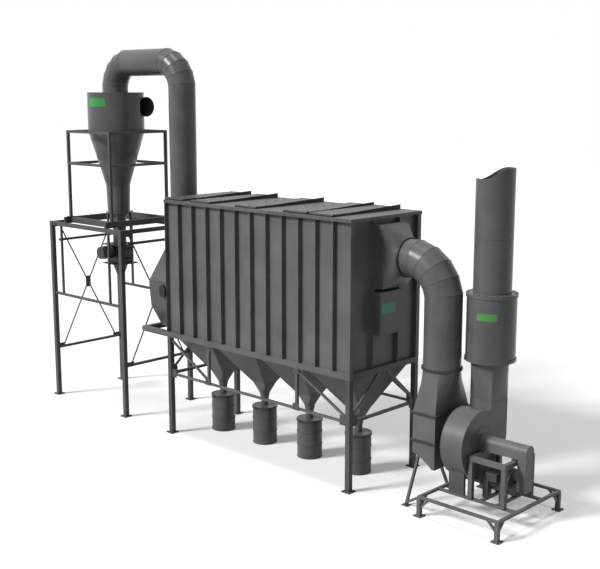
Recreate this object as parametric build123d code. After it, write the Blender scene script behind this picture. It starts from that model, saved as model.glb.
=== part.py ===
from build123d import *
import math
import os

os.makedirs("parts", exist_ok=True)

# Sizes are in millimetres. X runs along the plant from the cyclone to the fan,
# Y runs from the near side to the far side, and Z is up from the ground.
# The near left leg of the filter body stands at the origin until the last step,
# which shifts every piece so that the origin is under the middle of the plant.

# Filter body
leg_span_y = 2100
mid_y = leg_span_y / 2
body_over = 60
bay = 473
bay_count = 12
body_x0 = -body_over
body_x1 = body_x0 + bay * bay_count
body_y0 = -body_over
body_y1 = leg_span_y + body_over
leg_span_x = body_x1 - body_over
end_rib_half = 400
rail_top = 2450
rail_height = 120
rail_width = 110
rail_bottom = rail_top - rail_height
body_top = 5536
pan_depth = 90
sheet = 5
rib = 10
roof_sheet = 8
roof_lip = 60
roof_gap = 2

# Filter body legs and bracing
leg_size = 110
foot_size = 220
foot_thick = 15
node_z = 1449
strut_size = 50
brace_size = 45
hanger_size = 60
hanger_x = (1345, 4110)
end_brace_size = 60

# Roof lids: the right-hand edge of each along X
lid_edges = (540, 1440, 2900, 4360, 5080)
lid_length = 630
lid_height = 45
lid_margin_y = 60

# Hoppers, drums
hopper_count = 4
bays_per_hopper = bay_count // hopper_count
hopper_wall = 5
hopper_gap = 30
hopper_rim = 60
hopper_knee_z = 1449
hopper_knee_half = 200
neck_r = 80
neck_z = 985
waist_share = 0.42
drum_r = 286
drum_height = 880
drum_wall = 3
lid_thick = 25
drum_hoops = (300, 590)
hoop_r = 10

# Inlet chest at the cyclone end of the filter body
chest_x0 = -693
chest_x1 = body_x0
chest_y0 = -42
chest_y1 = leg_span_y - chest_y0
chest_high_z = 3612
chest_low_z = 3402
chest_knee_z = 2982
chest_knee_in = 42
chest_foot_in = 355
chest_top_z = 4600
chest_frame_x0 = -1000
duct_wall = 5

# Crossover duct
duct_r = 320
down_x = -672
crossover_z = 8673
bend_r = 640
bend_gores = 5

# Cyclone
cyclone_x = -3282
barrel_r = 708
barrel_z0 = 6993
barrel_z1 = 7959
cone_knee_r = 305
cone_knee_z = 5628
cone_low_r = 284
cone_low_z = 4935
spout_top_r = 240
spout_r = 170
spout_z1 = 4750
spout_z0 = 4110
inlet_r = 241
inlet_z = 7600
inlet_inset = 6
inlet_end_x = -2621

# Valve under the cyclone, hung on four stays
stay_at = 205
stay_size = 45
stay_ring_r = 330
stay_ring_thick = 25
valve_r = 250
valve_half_y = 230
valve_z = 3860
valve_neck_half = 200
valve_flange_half = 320
valve_flange_thick = 25
chute_top_z = 3590
chute_r = 200
chute_out_r = 95
chute_z0 = 3290
valve_motor_r = 150
valve_motor_length = 400
valve_motor_z = 3920

# Cyclone tower
tower_x = (-4757, -1810)
tower_y = (0, leg_span_y)
tower_leg = 105
platform_top = 4662
platform_depth = 102
tower_mid_z = 2772
tower_low_z = 1281
tower_beam = 60
under_rail_z = (4150, 4320)
tower_hanger_x = ((-4355, -2325), (-4165, -2325))
tower_hanger = 50
rod_r = 18
rod_inset = 190
rod_plate_y = 150
rod_plate_z = 300
rod_plate_thick = 10

# Cyclone cradle
cradle_gap = 164
cradle_half = barrel_r + cradle_gap
cradle_post = 65
cradle_low_z = 6144
cradle_base = 150
cradle_top_z = 7014

# Outlet ducting
collar_half_y = 390
collar_y0 = mid_y - collar_half_y
collar_y1 = mid_y + collar_half_y
collar_z0 = 4116
collar_z1 = 5376
collar_x1 = 5838
outlet_r = 373
outlet_z = 4746
outlet_round_x = 6153
elbow_x = 6279
outlet_bend_r = 757
drop_x = elbow_x + outlet_bend_r
drop_z = 2646
flange_out = 32
flange_thick = 40
cabinet_width = 730
cabinet_y0 = collar_y0
cabinet_y1 = cabinet_y0 + cabinet_width
cabinet_z0 = 3150
cabinet_z1 = 4032
cabinet_depth = 150

# Fan inlet box
box_half_x = 268
box_half_y = 548
box_top_z = 1848
box_mid_z = 1260
box_low_z = 756
box_cut_x = -60
box_cut_z = 1020
box_curve_x = 0.62
box_curve_z = 0.5
box_flange = 38
box_flange_thick = 35

# Fan
fan_x0 = 7530
fan_x1 = 8020
fan_wall = 6
shaft_y = mid_y
shaft_z = 1370
scroll_far = 825
scroll_bottom = 725
scroll_near = 680
scroll_top = 620
throat_near = 270
throat_y0 = shaft_y + throat_near
throat_y1 = shaft_y + scroll_far
throat_z = 2080
eye_r = 250
stack_x = 7790
stack_offset = 525
stack_y = shaft_y + stack_offset
stack_r = 374
silencer_r = 484
silencer_z0 = 2865
silencer_z1 = 4185
silencer_cap = 65
silencer_lip = 18
stack_cut_z = (6390, 6357, 6455, 6569, 6545)
stack_cut_spots = (-1.1, -0.55, 0, 0.55, 1.1)
stack_cut_angle = 43.8
stack_cut_tilt = 4.5

# Fan base and drive
base_x0 = 7310
base_x1 = 9135
base_y0 = 0
base_y1 = leg_span_y
base_top = 405
base_depth = 50
base_bar = 60
base_leg = 80
base_inner_half = 441
base_inner_y = (shaft_y - base_inner_half, shaft_y + base_inner_half)
base_foot = 180
knee = 200
knee_over = 40
knee_bar = 40
box_tie = 50
box_tie_z = (60, 370)
stand_x = (8106, 8830)
stand_half_y = 462
stand_y = (shaft_y - stand_half_y, shaft_y + stand_half_y)
stand_bar = 90
stand_top = 1230
guard_half = 126
guard_z = 1411
guard_low_z = 1260
guard_wall = 4
belt_x0 = 8893
belt_x1 = 9072
belt_low_z = 640
motor_x0 = 8180
motor_x1 = 8780
motor_r = 240
motor_z = 760
motor_foot = 60
motor_foot_half = 210
motor_rail_x = (8300, 8660)
motor_stub_r = 30
shaft_r = 40
block_half_x = 60
block_half_y = 150
block_base = 25
block_r = 105
scroll_foot_x = (7600, 7950)
scroll_foot_half = 30
box_leg_x = 6833
box_leg_size = 50
box_leg_feet = (-792, 588)
box_leg_tops = (-368, 42)
box_leg_feet_y = (shaft_y + box_leg_feet[0], shaft_y + box_leg_feet[1])
box_leg_tops_y = (shaft_y + box_leg_tops[0], shaft_y + box_leg_tops[1])
box_leg_foot = 150
port_x = -165
port_z = 3400
port_r = 100
port_tall = 300
port_length = 60


def box(x0, x1, y0, y1, z0, z1):
    """A solid block between two opposite corners."""
    size = (x1 - x0, y1 - y0, z1 - z0)
    centre = ((x0 + x1) / 2, (y0 + y1) / 2, (z0 + z1) / 2)
    return Pos(*centre) * Box(*size)


def rect_at(x0, x1, y0, y1, z):
    """A level rectangular face."""
    return Pos((x0 + x1) / 2, (y0 + y1) / 2, z) * Rectangle(x1 - x0, y1 - y0)


def tube(x, y, z0, z1, radius, wall):
    """A standing round pipe, open at both ends."""
    height = z1 - z0
    outer = Cylinder(radius, height)
    inner = Cylinder(radius - wall, height)
    return Pos(x, y, (z0 + z1) / 2) * (outer - inner)


def ring(x, y, z0, z1, radius, inner_radius):
    """A standing flat ring."""
    height = z1 - z0
    return Pos(x, y, (z0 + z1) / 2) * (Cylinder(radius, height) - Cylinder(inner_radius, height))


def bar(start, end, width, depth=None):
    """A square bar between two points, with square cut ends."""
    path = Line(start, end)
    plane = Plane(origin=start, z_dir=path % 0)
    return extrude(plane * Rectangle(width, depth or width), path.length)


def rod(start, end, radius):
    """A round rod between two points."""
    path = Line(start, end)
    plane = Plane(origin=start, z_dir=path % 0)
    return extrude(plane * Circle(radius), path.length)


def largest(shape):
    """The largest solid of a cut shape, so that cut-off corners are left out."""
    return max(shape.solids(), key=lambda solid: solid.volume)


def cut(shape, tools):
    """A shape trimmed by others, with the cut-off ends left out."""
    for tool in tools:
        shape = shape - tool
    return largest(shape)


def shell_loft(lower, upper, inner_lower, inner_upper):
    """An open transition between two faces, with a real wall."""
    return loft([lower, upper]) - loft([inner_lower, inner_upper])


def gored_bend(origin, start_dir, end_dir, bend_radius, radius, wall, gores):
    """A quarter bend made of straight pipe lengths cut on the mitre.

    The bend leaves the origin along start_dir and turns to end_dir.
    The first and last lengths are half as long as the others.
    """
    start_dir = Vector(*start_dir)
    end_dir = Vector(*end_dir)
    origin = Vector(*origin)
    centre = origin + end_dir * bend_radius
    step = math.pi / 2 / gores
    points = [origin]
    reach = bend_radius / math.cos(step / 2)
    for i in range(gores):
        angle = (i + 0.5) * step
        points.append(centre - end_dir * reach * math.cos(angle) + start_dir * reach * math.sin(angle))
    points.append(centre + start_dir * bend_radius)
    path = Polyline(*[tuple(point) for point in points])
    start_plane = Plane(origin=tuple(origin), z_dir=tuple(start_dir))
    outer = sweep(start_plane * Circle(radius), path=path, transition=Transition.RIGHT)
    inner = sweep(start_plane * Circle(radius - wall), path=path, transition=Transition.RIGHT)
    return outer - inner


pieces = {}


def add(name, *solids):
    """Store one named piece. Its solids stand apart from each other."""
    flat = []
    for solid in solids:
        flat.extend(solid.solids())
    pieces[name] = flat


# Legs of the filter body: square tube on foot plates, under the rails.
leg_points = [(x, y) for x in (0, leg_span_x) for y in (0, leg_span_y)]


def leg_on_foot(x, y, size, top):
    foot = box(x - foot_size / 2, x + foot_size / 2, y - foot_size / 2, y + foot_size / 2, 0, foot_thick)
    post = box(x - size / 2, x + size / 2, y - size / 2, y + size / 2, foot_thick, top)
    return foot + post


body_legs = [leg_on_foot(x, y, leg_size, rail_bottom) for x, y in leg_points]
add("body_legs", *body_legs)

# Rails along the plant carry the filter body and run on under the inlet chest.
half_rail = rail_width / 2
rails_x = [
    box(chest_frame_x0, leg_span_x + half_rail, y - half_rail, y + half_rail, rail_bottom, rail_top)
    for y in (0, leg_span_y)
]
add("rails_long", *rails_x)

# Rails across the plant: one under each end and one at the end of the chest frame.
cross_x = [chest_frame_x0 + half_rail, 0, leg_span_x]
rails_y = [
    box(x - half_rail, x + half_rail, half_rail, leg_span_y - half_rail, rail_bottom, rail_top)
    for x in cross_x
]
add("rails_cross", *rails_y)

# Struts at the node level, along the plant and across it.
half_leg = leg_size / 2
half_strut = strut_size / 2
struts_x = [
    box(
        half_leg, leg_span_x - half_leg, y - half_strut, y + half_strut,
        node_z - half_strut, node_z + half_strut,
    )
    for y in (0, leg_span_y)
]
half_end = end_brace_size / 2
struts_y = [
    box(x - half_end, x + half_end, half_leg, leg_span_y - half_leg, node_z - half_end, node_z + half_end)
    for x in (0, leg_span_x)
]
add("body_struts", *struts_x, *struts_y)

# Short posts hang from the long rails down to the long struts.
half_hanger = hanger_size / 2
hangers = [
    box(x - half_hanger, x + half_hanger, y - half_hanger, y + half_hanger, node_z + half_strut, rail_bottom)
    for x in hanger_x
    for y in (0, leg_span_y)
]
add("body_hangers", *hangers)

# Diagonals: from the left leg's top to the first hanger's foot, and from the second
# hanger's top to the right leg's node. The end planes have an upturned V each.
side_diagonals = []
for y in (0, leg_span_y):
    near = [*body_legs, *hangers, *struts_x, *rails_x]
    left = bar((0, y, rail_bottom - brace_size), (hanger_x[0], y, node_z + strut_size), brace_size)
    right = bar((hanger_x[1], y, rail_bottom - brace_size), (leg_span_x, y, node_z + strut_size), brace_size)
    side_diagonals.append(cut(left, near))
    side_diagonals.append(cut(right, near))
end_diagonals = []
apex_offset = end_brace_size
for x in (0, leg_span_x):
    near = [*body_legs, *struts_y, *rails_y]
    for y, sign in ((0, -1), (leg_span_y, 1)):
        apex = (x, mid_y + sign * apex_offset, rail_bottom + brace_size)
        foot_point = (x, y, node_z + end_brace_size)
        end_diagonals.append(cut(bar(apex, foot_point, brace_size), near))
add("body_braces", *side_diagonals, *end_diagonals)


# Pan walls: a recessed sheet with a standing rib at each panel joint.
def pan_wall_x(y_out, y_in, ribs_at):
    """A wall along X. The ribs reach from the sheet out to y_out."""
    low, high = sorted((y_out, y_in))
    inner = y_in - math.copysign(sheet, y_in - y_out)
    s_low, s_high = sorted((inner, y_in))
    wall = box(body_x0, body_x1, s_low, s_high, rail_top, body_top)
    for x0 in ribs_at:
        wall += box(x0, x0 + rib, low, high, rail_top, body_top)
    return wall


def pan_wall_y(x_out, x_in, ribs_at, y0, y1):
    """A wall along Y, between the two long walls."""
    low, high = sorted((x_out, x_in))
    inner = x_in - math.copysign(sheet, x_in - x_out)
    s_low, s_high = sorted((inner, x_in))
    wall = box(s_low, s_high, y0, y1, rail_top, body_top)
    for rib_y in ribs_at:
        wall += box(low, high, rib_y, rib_y + rib, rail_top, body_top)
    return wall


pan_back = pan_depth + sheet
side_ribs = [body_x0 + bay * i - rib / 2 for i in range(1, bay_count)]
side_ribs = [body_x0, *side_ribs, body_x1 - rib]
add(
    "side_walls",
    pan_wall_x(body_y0, body_y0 + pan_back, side_ribs),
    pan_wall_x(body_y1, body_y1 - pan_back, side_ribs),
)
end_y0 = body_y0 + pan_back
end_y1 = body_y1 - pan_back
end_ribs = [end_y0, mid_y - end_rib_half - rib / 2, mid_y + end_rib_half - rib / 2, end_y1 - rib]
inlet_wall = pan_wall_y(body_x0, body_x0 + pan_back, end_ribs, end_y0, end_y1)
outlet_wall = pan_wall_y(body_x1, body_x1 - pan_back, end_ribs, end_y0, end_y1)
collar_hole = box(body_x1 - 2 * pan_back, body_x1, collar_y0, collar_y1, collar_z0, collar_z1)
add("inlet_end_wall", inlet_wall)

# Roof: a plate with a turned-down lip that stands just clear of the ribs.
lip_out = roof_gap + roof_sheet
roof_outer = box(
    body_x0 - lip_out, body_x1 + lip_out, body_y0 - lip_out, body_y1 + lip_out,
    body_top - roof_lip, body_top + roof_sheet,
)
roof_inner = box(
    body_x0 - roof_gap, body_x1 + roof_gap, body_y0 - roof_gap, body_y1 + roof_gap,
    body_top - roof_lip, body_top,
)
add("roof", roof_outer - roof_inner)
roof_top = body_top + roof_sheet
lids = [
    box(x - lid_length, x, body_y0 + lid_margin_y, body_y1 - lid_margin_y, roof_top, roof_top + lid_height)
    for x in lid_edges
]
add("roof_lids", *lids)

# Hoppers: a square pyramid, then a squeezed piece down to a round neck.
hopper_y0 = half_rail
hopper_y1 = leg_span_y - half_rail
hopper_pitch = bay * bays_per_hopper
hopper_x = [body_x0 + hopper_pitch * (i + 0.5) for i in range(hopper_count)]


def hopper_shell(x, inset):
    half = (hopper_pitch - hopper_gap) / 2
    x0 = max(x - half, half_rail) + inset
    x1 = min(x + half, leg_span_x - half_rail) - inset
    knee_half = hopper_knee_half - inset
    rim_z = rail_top - hopper_rim
    rim = box(x0, x1, hopper_y0 + inset, hopper_y1 - inset, rim_z, rail_top)
    top = rect_at(x0, x1, hopper_y0 + inset, hopper_y1 - inset, rim_z)
    knee_face = rect_at(x - knee_half, x + knee_half, mid_y - knee_half, mid_y + knee_half, hopper_knee_z)
    upper = loft([knee_face, top])
    neck = Pos(x, mid_y, neck_z) * Circle(neck_r - inset)
    waist_r = (knee_half + neck_r) * waist_share
    waist_z = neck_z + (hopper_knee_z - neck_z) * waist_share
    waist = Pos(x, mid_y, waist_z) * Circle(waist_r - inset)
    lower = loft([neck, waist]) + loft([waist, knee_face])
    return rim + upper + lower


add("hoppers", *[hopper_shell(x, 0) - hopper_shell(x, hopper_wall) for x in hopper_x])

# Drums: rolled body with two hoops and a lid, under each neck.
drums = []
for x in hopper_x:
    drum = Pos(x, mid_y, drum_height / 2) * Cylinder(drum_r - hoop_r, drum_height)
    for z in drum_hoops:
        drum += ring(x, mid_y, z - hoop_r, z + hoop_r, drum_r, drum_r - 2 * hoop_r)
    drum += Pos(x, mid_y, drum_height - lid_thick) * Cylinder(drum_r, 2 * lid_thick)
    drum_inside = Cylinder(drum_r - hoop_r - drum_wall, drum_height - 2 * lid_thick)
    drum -= Pos(x, mid_y, drum_height / 2) * drum_inside
    spout = tube(x, mid_y, drum_height, neck_z, neck_r, hopper_wall)
    drums.append(drum + spout)
add("drums", *drums)

# Inlet chest: bottom pyramid, straight band and top transition to the round duct.
chest_low = rect_at(chest_x0, chest_x1, chest_y0, chest_y1, chest_low_z)
chest_high = rect_at(chest_x0, chest_x1, chest_y0, chest_y1, chest_high_z)


def inset_rect(x0, x1, y0, y1, z, inset):
    return rect_at(x0 + inset, x1 - inset, y0 + inset, y1 - inset, z)


def chest_solid(inset):
    """The underside of the chest: two tapers, the lower one steeper."""
    levels = ((rail_top, chest_foot_in), (chest_knee_z, chest_knee_in), (chest_low_z, 0))
    faces = [
        inset_rect(chest_x0, chest_x1, chest_y0 + narrow, chest_y1 - narrow, z, inset)
        for z, narrow in levels
    ]
    return loft(faces[:2]) + loft(faces[1:])


add("chest_bottom", chest_solid(0) - chest_solid(duct_wall))
band_outer = box(chest_x0, chest_x1, chest_y0, chest_y1, chest_low_z, chest_high_z)
band_inner = box(
    chest_x0 + duct_wall, chest_x1 - duct_wall, chest_y0 + duct_wall, chest_y1 - duct_wall,
    chest_low_z, chest_high_z,
)
add("chest_band", band_outer - band_inner)
port_plane = Plane(origin=(port_x, chest_y0, port_z), x_dir=(0, 0, 1), z_dir=(0, -1, 0))
port_face = port_plane * SlotOverall(port_tall, 2 * port_r)
add("chest_port", extrude(port_face, port_length))
chest_round = Pos(down_x, mid_y, chest_top_z) * Circle(duct_r)
chest_round_in = Pos(down_x, mid_y, chest_top_z) * Circle(duct_r - duct_wall)
chest_high_in = inset_rect(chest_x0, chest_x1, chest_y0, chest_y1, chest_high_z, duct_wall)
add("chest_top", shell_loft(chest_high, chest_round, chest_high_in, chest_round_in))

# Crossover duct: a riser off the cyclone, two gored bends, a level run, a down leg.
riser_top = crossover_z - bend_r
riser = tube(cyclone_x, mid_y, barrel_z1, riser_top, duct_r, duct_wall)
add(
    "crossover_bends",
    gored_bend((cyclone_x, mid_y, riser_top), (0, 0, 1), (1, 0, 0), bend_r, duct_r, duct_wall, bend_gores),
    gored_bend(
        (down_x - bend_r, mid_y, crossover_z), (1, 0, 0), (0, 0, -1), bend_r, duct_r, duct_wall, bend_gores
    ),
)
run_x0 = cyclone_x + bend_r
run_x1 = down_x - bend_r
level_run = Pos((run_x0 + run_x1) / 2, mid_y, crossover_z) * Rot(0, 90, 0) * (
    Cylinder(duct_r, run_x1 - run_x0) - Cylinder(duct_r - duct_wall, run_x1 - run_x0)
)
down_leg = tube(down_x, mid_y, chest_top_z, riser_top, duct_r, duct_wall)
add("crossover_pipes", riser, level_run, down_leg)

# Cyclone: barrel with its top plate and tangential inlet, cone and spout.
inlet_y = mid_y + barrel_r - inlet_r - inlet_inset
barrel = tube(cyclone_x, mid_y, barrel_z0, barrel_z1 - roof_sheet, barrel_r, duct_wall)
barrel_top = ring(cyclone_x, mid_y, barrel_z1 - roof_sheet, barrel_z1, barrel_r, duct_r - duct_wall)
inlet_length = inlet_end_x - cyclone_x
inlet_place = Pos(cyclone_x + inlet_length / 2, inlet_y, inlet_z) * Rot(0, 90, 0)
inlet_outer = inlet_place * Cylinder(inlet_r, inlet_length)
inlet_inner = inlet_place * Cylinder(inlet_r - duct_wall, inlet_length)
barrel_core = Pos(cyclone_x, mid_y, (barrel_z0 + barrel_z1) / 2) * Cylinder(
    barrel_r - duct_wall, barrel_z1 - barrel_z0
)
inlet_pipe = largest((inlet_outer - inlet_inner) - barrel_core)
add("cyclone_barrel", largest(barrel - inlet_inner) + barrel_top + inlet_pipe)


def cone_shell(x, y, z0, r0, z1, r1, wall):
    outer = Pos(x, y, (z0 + z1) / 2) * Cone(r0, r1, z1 - z0)
    inner = Pos(x, y, (z0 + z1) / 2) * Cone(r0 - wall, r1 - wall, z1 - z0)
    return outer - inner


cone_upper = cone_shell(cyclone_x, mid_y, cone_knee_z, cone_knee_r, barrel_z0, barrel_r, duct_wall)
cone_lower = cone_shell(cyclone_x, mid_y, cone_low_z, cone_low_r, cone_knee_z, cone_knee_r, duct_wall)
stay_top = cone_low_z - stay_ring_thick
stay_ring = ring(cyclone_x, mid_y, stay_top, cone_low_z, stay_ring_r, spout_top_r - duct_wall)
spout_taper = cone_shell(cyclone_x, mid_y, spout_z1, spout_r, stay_top, spout_top_r, duct_wall)
spout = tube(cyclone_x, mid_y, spout_z0, spout_z1, spout_r, duct_wall)
add("cyclone_cone", cone_upper + cone_lower + stay_ring + spout_taper + spout)

# Four stays stand around the spout and carry the valve.
half_stay = stay_size / 2
stays = []
for sx in (-1, 1):
    for sy in (-1, 1):
        x = cyclone_x + sx * stay_at
        y = mid_y + sy * stay_at
        stays.append(box(x - half_stay, x + half_stay, y - half_stay, y + half_stay, spout_z0, stay_top))
add("spout_stays", *stays)

# Rotary valve: a closed housing along Y between two square flanges.
valve = Pos(cyclone_x, mid_y, valve_z) * Rot(90, 0, 0) * Cylinder(valve_r, 2 * valve_half_y)
vf = valve_flange_half
valve_top_flange = box(
    cyclone_x - vf, cyclone_x + vf, mid_y - vf, mid_y + vf, spout_z0 - valve_flange_thick, spout_z0
)
valve_low_flange = box(
    cyclone_x - vf, cyclone_x + vf, mid_y - vf, mid_y + vf, chute_top_z, chute_top_z + valve_flange_thick
)
valve_neck = box(
    cyclone_x - valve_neck_half, cyclone_x + valve_neck_half, mid_y - valve_half_y, mid_y + valve_half_y,
    chute_top_z + valve_flange_thick, spout_z0 - valve_flange_thick,
)
add("rotary_valve", valve + valve_neck + valve_top_flange + valve_low_flange)
motor_y1 = mid_y - valve_half_y
valve_motor = Pos(cyclone_x, motor_y1 - valve_motor_length / 2, valve_motor_z) * Rot(90, 0, 0) * Cylinder(
    valve_motor_r, valve_motor_length
)
add("valve_motor", valve_motor)
add("valve_chute", cone_shell(cyclone_x, mid_y, chute_z0, chute_out_r, chute_top_z, chute_r, duct_wall))

# Cyclone tower legs, beams, struts, hangers and rods.
tower_legs = [leg_on_foot(x, y, tower_leg, platform_top) for x in tower_x for y in tower_y]
add("tower_legs", *tower_legs)
half_tower = tower_leg / 2
half_beam = tower_beam / 2
platform_z0 = platform_top - platform_depth
beams_x = [
    box(
        tower_x[0] + half_tower, tower_x[1] - half_tower, y - half_beam, y + half_beam,
        platform_z0, platform_top,
    )
    for y in tower_y
]
mid_beams = [
    box(
        tower_x[0] + half_tower, tower_x[1] - half_tower, y - half_beam, y + half_beam,
        tower_mid_z - half_beam, tower_mid_z + half_beam,
    )
    for y in tower_y
]
side_beams = []
for x in tower_x:
    for z0, z1 in ((platform_z0, platform_top), (tower_low_z - half_beam, tower_low_z + half_beam)):
        side_beams.append(
            box(x - half_beam, x + half_beam, tower_y[0] + half_tower, tower_y[1] - half_tower, z0, z1)
        )

# On the platform lies a second frame, which carries the cradle.
cradle_z0 = platform_top + cradle_base
cradle_base_x = (cyclone_x - cradle_half, cyclone_x + cradle_half)
platform_cross = [
    box(x - half_beam, x + half_beam, tower_y[0] - half_beam, tower_y[1] + half_beam, platform_top, cradle_z0)
    for x in cradle_base_x
]
add("platform_cross_beams", *platform_cross)
inner_beams = [
    box(
        cradle_base_x[0] + half_beam, cradle_base_x[1] - half_beam,
        y - half_beam, y + half_beam, platform_top, cradle_z0,
    )
    for y in (mid_y - cradle_half, mid_y + cradle_half)
]
add("platform_inner_beams", *inner_beams)
half_th = tower_hanger / 2
tower_hangers = [
    box(x - half_th, x + half_th, y - half_th, y + half_th, tower_mid_z + half_beam, platform_z0)
    for y, hanger_xs in zip(tower_y, tower_hanger_x)
    for x in hanger_xs
]
add("tower_hangers", *tower_hangers)
rod_plates = []
rods = []
under_rails = []
rod_mid_z = (tower_low_z + half_beam + platform_z0) / 2
for x, rail_z in zip(tower_x, under_rail_z):
    plate = box(
        x - rod_plate_thick / 2, x + rod_plate_thick / 2, mid_y - rod_plate_y / 2, mid_y + rod_plate_y / 2,
        rod_mid_z - rod_plate_z / 2, rod_mid_z + rod_plate_z / 2,
    )
    rod_plates.append(plate)
    side_rods = []
    for y in (tower_y[0] + rod_inset, tower_y[1] - rod_inset):
        for z in (tower_low_z, platform_z0 + half_beam):
            line = rod((x, y, z), (x, mid_y, rod_mid_z), rod_r)
            side_rods.append(cut(line, [plate, *side_beams]))
    # The rail under the platform runs from rod to rod.
    rail = box(
        x - half_beam, x + half_beam, tower_y[0] + rod_inset, tower_y[1] - rod_inset,
        rail_z - half_beam, rail_z + half_beam,
    )
    under_rails.append(cut(rail, side_rods))
    rods.extend(side_rods)
add("tower_beams", *beams_x, *mid_beams, *side_beams, *under_rails)
add("tower_rod_plates", *rod_plates)
add("tower_rods", *rods)

# Cradle: four posts on the platform, tied by two rings of bars around the cyclone.
post_half = cradle_post / 2
cradle_points = [
    (cyclone_x + sx * cradle_half, mid_y + sy * cradle_half) for sx in (-1, 1) for sy in (-1, 1)
]
cradle_posts = [
    box(x - post_half, x + post_half, y - post_half, y + post_half, cradle_z0, cradle_top_z)
    for x, y in cradle_points
]
add("cradle_posts", *cradle_posts)
cradle_bars_x = []
cradle_bars_y = []
for z in (cradle_low_z, cradle_top_z - cradle_post):
    for sign in (-1, 1):
        y = mid_y + sign * cradle_half
        x = cyclone_x + sign * cradle_half
        cradle_bars_x.append(
            box(
                cyclone_x - cradle_half + post_half, cyclone_x + cradle_half - post_half,
                y - post_half, y + post_half, z, z + cradle_post,
            )
        )
        cradle_bars_y.append(
            box(
                x - post_half, x + post_half, mid_y - cradle_half + post_half,
                mid_y + cradle_half - post_half, z, z + cradle_post,
            )
        )
add("cradle_bars", *cradle_bars_x, *cradle_bars_y)
# Brackets tie the barrel to the upper bars.
bracket_z0 = cradle_top_z - cradle_post
brackets = []
barrel_block = Pos(cyclone_x, mid_y, (barrel_z0 + barrel_z1) / 2) * Cylinder(barrel_r, barrel_z1 - barrel_z0)
cone_block = Pos(cyclone_x, mid_y, (cone_knee_z + barrel_z0) / 2) * Cone(
    cone_knee_r, barrel_r, barrel_z0 - cone_knee_z
)
for sign in (-1, 1):
    x_bracket = box(
        cyclone_x + sign * (cradle_half - post_half) - (0 if sign < 0 else barrel_r / 2),
        cyclone_x + sign * (cradle_half - post_half) + (barrel_r / 2 if sign < 0 else 0),
        mid_y - post_half, mid_y + post_half, bracket_z0, cradle_top_z,
    )
    y_bracket = box(
        cyclone_x - post_half, cyclone_x + post_half,
        mid_y + sign * (cradle_half - post_half) - (0 if sign < 0 else barrel_r / 2),
        mid_y + sign * (cradle_half - post_half) + (barrel_r / 2 if sign < 0 else 0),
        bracket_z0, cradle_top_z,
    )
    brackets.append(cut(x_bracket, [barrel_block, cone_block]))
    brackets.append(cut(y_bracket, [barrel_block, cone_block]))
add("cradle_brackets", *brackets)

# Outlet: collar through the end wall, transition, gored elbow, drop pipe.
collar_in_x = body_x1 - pan_back
collar = box(collar_in_x, collar_x1, collar_y0, collar_y1, collar_z0, collar_z1) - box(
    collar_in_x, collar_x1, collar_y0 + duct_wall, collar_y1 - duct_wall,
    collar_z0 + duct_wall, collar_z1 - duct_wall,
)
add("outlet_end_wall", outlet_wall - collar_hole)
add("outlet_collar", collar)


def upright_rect(x, y0, y1, z0, z1):
    return Plane(origin=(x, (y0 + y1) / 2, (z0 + z1) / 2), x_dir=(0, 1, 0), z_dir=(1, 0, 0)) * Rectangle(
        y1 - y0, z1 - z0
    )


def upright_circle(x, y, z, radius):
    return Plane(origin=(x, y, z), x_dir=(0, 1, 0), z_dir=(1, 0, 0)) * Circle(radius)


add(
    "outlet_transition",
    shell_loft(
        upright_rect(collar_x1, collar_y0, collar_y1, collar_z0, collar_z1),
        upright_circle(outlet_round_x, mid_y, outlet_z, outlet_r),
        upright_rect(
            collar_x1, collar_y0 + duct_wall, collar_y1 - duct_wall,
            collar_z0 + duct_wall, collar_z1 - duct_wall,
        ),
        upright_circle(outlet_round_x, mid_y, outlet_z, outlet_r - duct_wall),
    ),
)
stub_length = elbow_x - outlet_round_x
stub = Pos(outlet_round_x + stub_length / 2, mid_y, outlet_z) * Rot(0, 90, 0) * (
    Cylinder(outlet_r, stub_length) - Cylinder(outlet_r - duct_wall, stub_length)
)
stub_flange = Pos(outlet_round_x + flange_thick / 2, mid_y, outlet_z) * Rot(0, 90, 0) * (
    Cylinder(outlet_r + flange_out, flange_thick) - Cylinder(outlet_r - duct_wall, flange_thick)
)
bend = gored_bend(
    (elbow_x, mid_y, outlet_z), (1, 0, 0), (0, 0, -1), outlet_bend_r, outlet_r, duct_wall, bend_gores
)
add("outlet_elbow", stub + stub_flange + bend)
drop_top = outlet_z - outlet_bend_r
drop = tube(drop_x, mid_y, drop_z, drop_top, outlet_r, duct_wall)
drop_flange = ring(drop_x, mid_y, drop_z, drop_z + flange_thick, outlet_r + flange_out, outlet_r - duct_wall)
add("drop_pipe", drop + drop_flange)

# Cabinet on the end wall below the outlet.
add(
    "wall_cabinet",
    box(body_x1 - pan_depth, body_x1 + cabinet_depth, cabinet_y0, cabinet_y1, cabinet_z0, cabinet_z1),
)

# Fan inlet: round-to-rectangular piece, box with a hollowed underside, two splayed legs.
fan_box_x0 = drop_x - box_half_x
fan_box_x1 = drop_x + box_half_x
fan_box_y0 = mid_y - box_half_y
fan_box_y1 = mid_y + box_half_y
box_top_face = rect_at(fan_box_x0, fan_box_x1, fan_box_y0, fan_box_y1, box_top_z)
box_top_face_in = inset_rect(fan_box_x0, fan_box_x1, fan_box_y0, fan_box_y1, box_top_z, duct_wall)
round_face = Pos(drop_x, mid_y, drop_z) * Circle(outlet_r)
round_face_in = Pos(drop_x, mid_y, drop_z) * Circle(outlet_r - duct_wall)
add("fan_inlet_transition", shell_loft(box_top_face, round_face, box_top_face_in, round_face_in))


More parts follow.
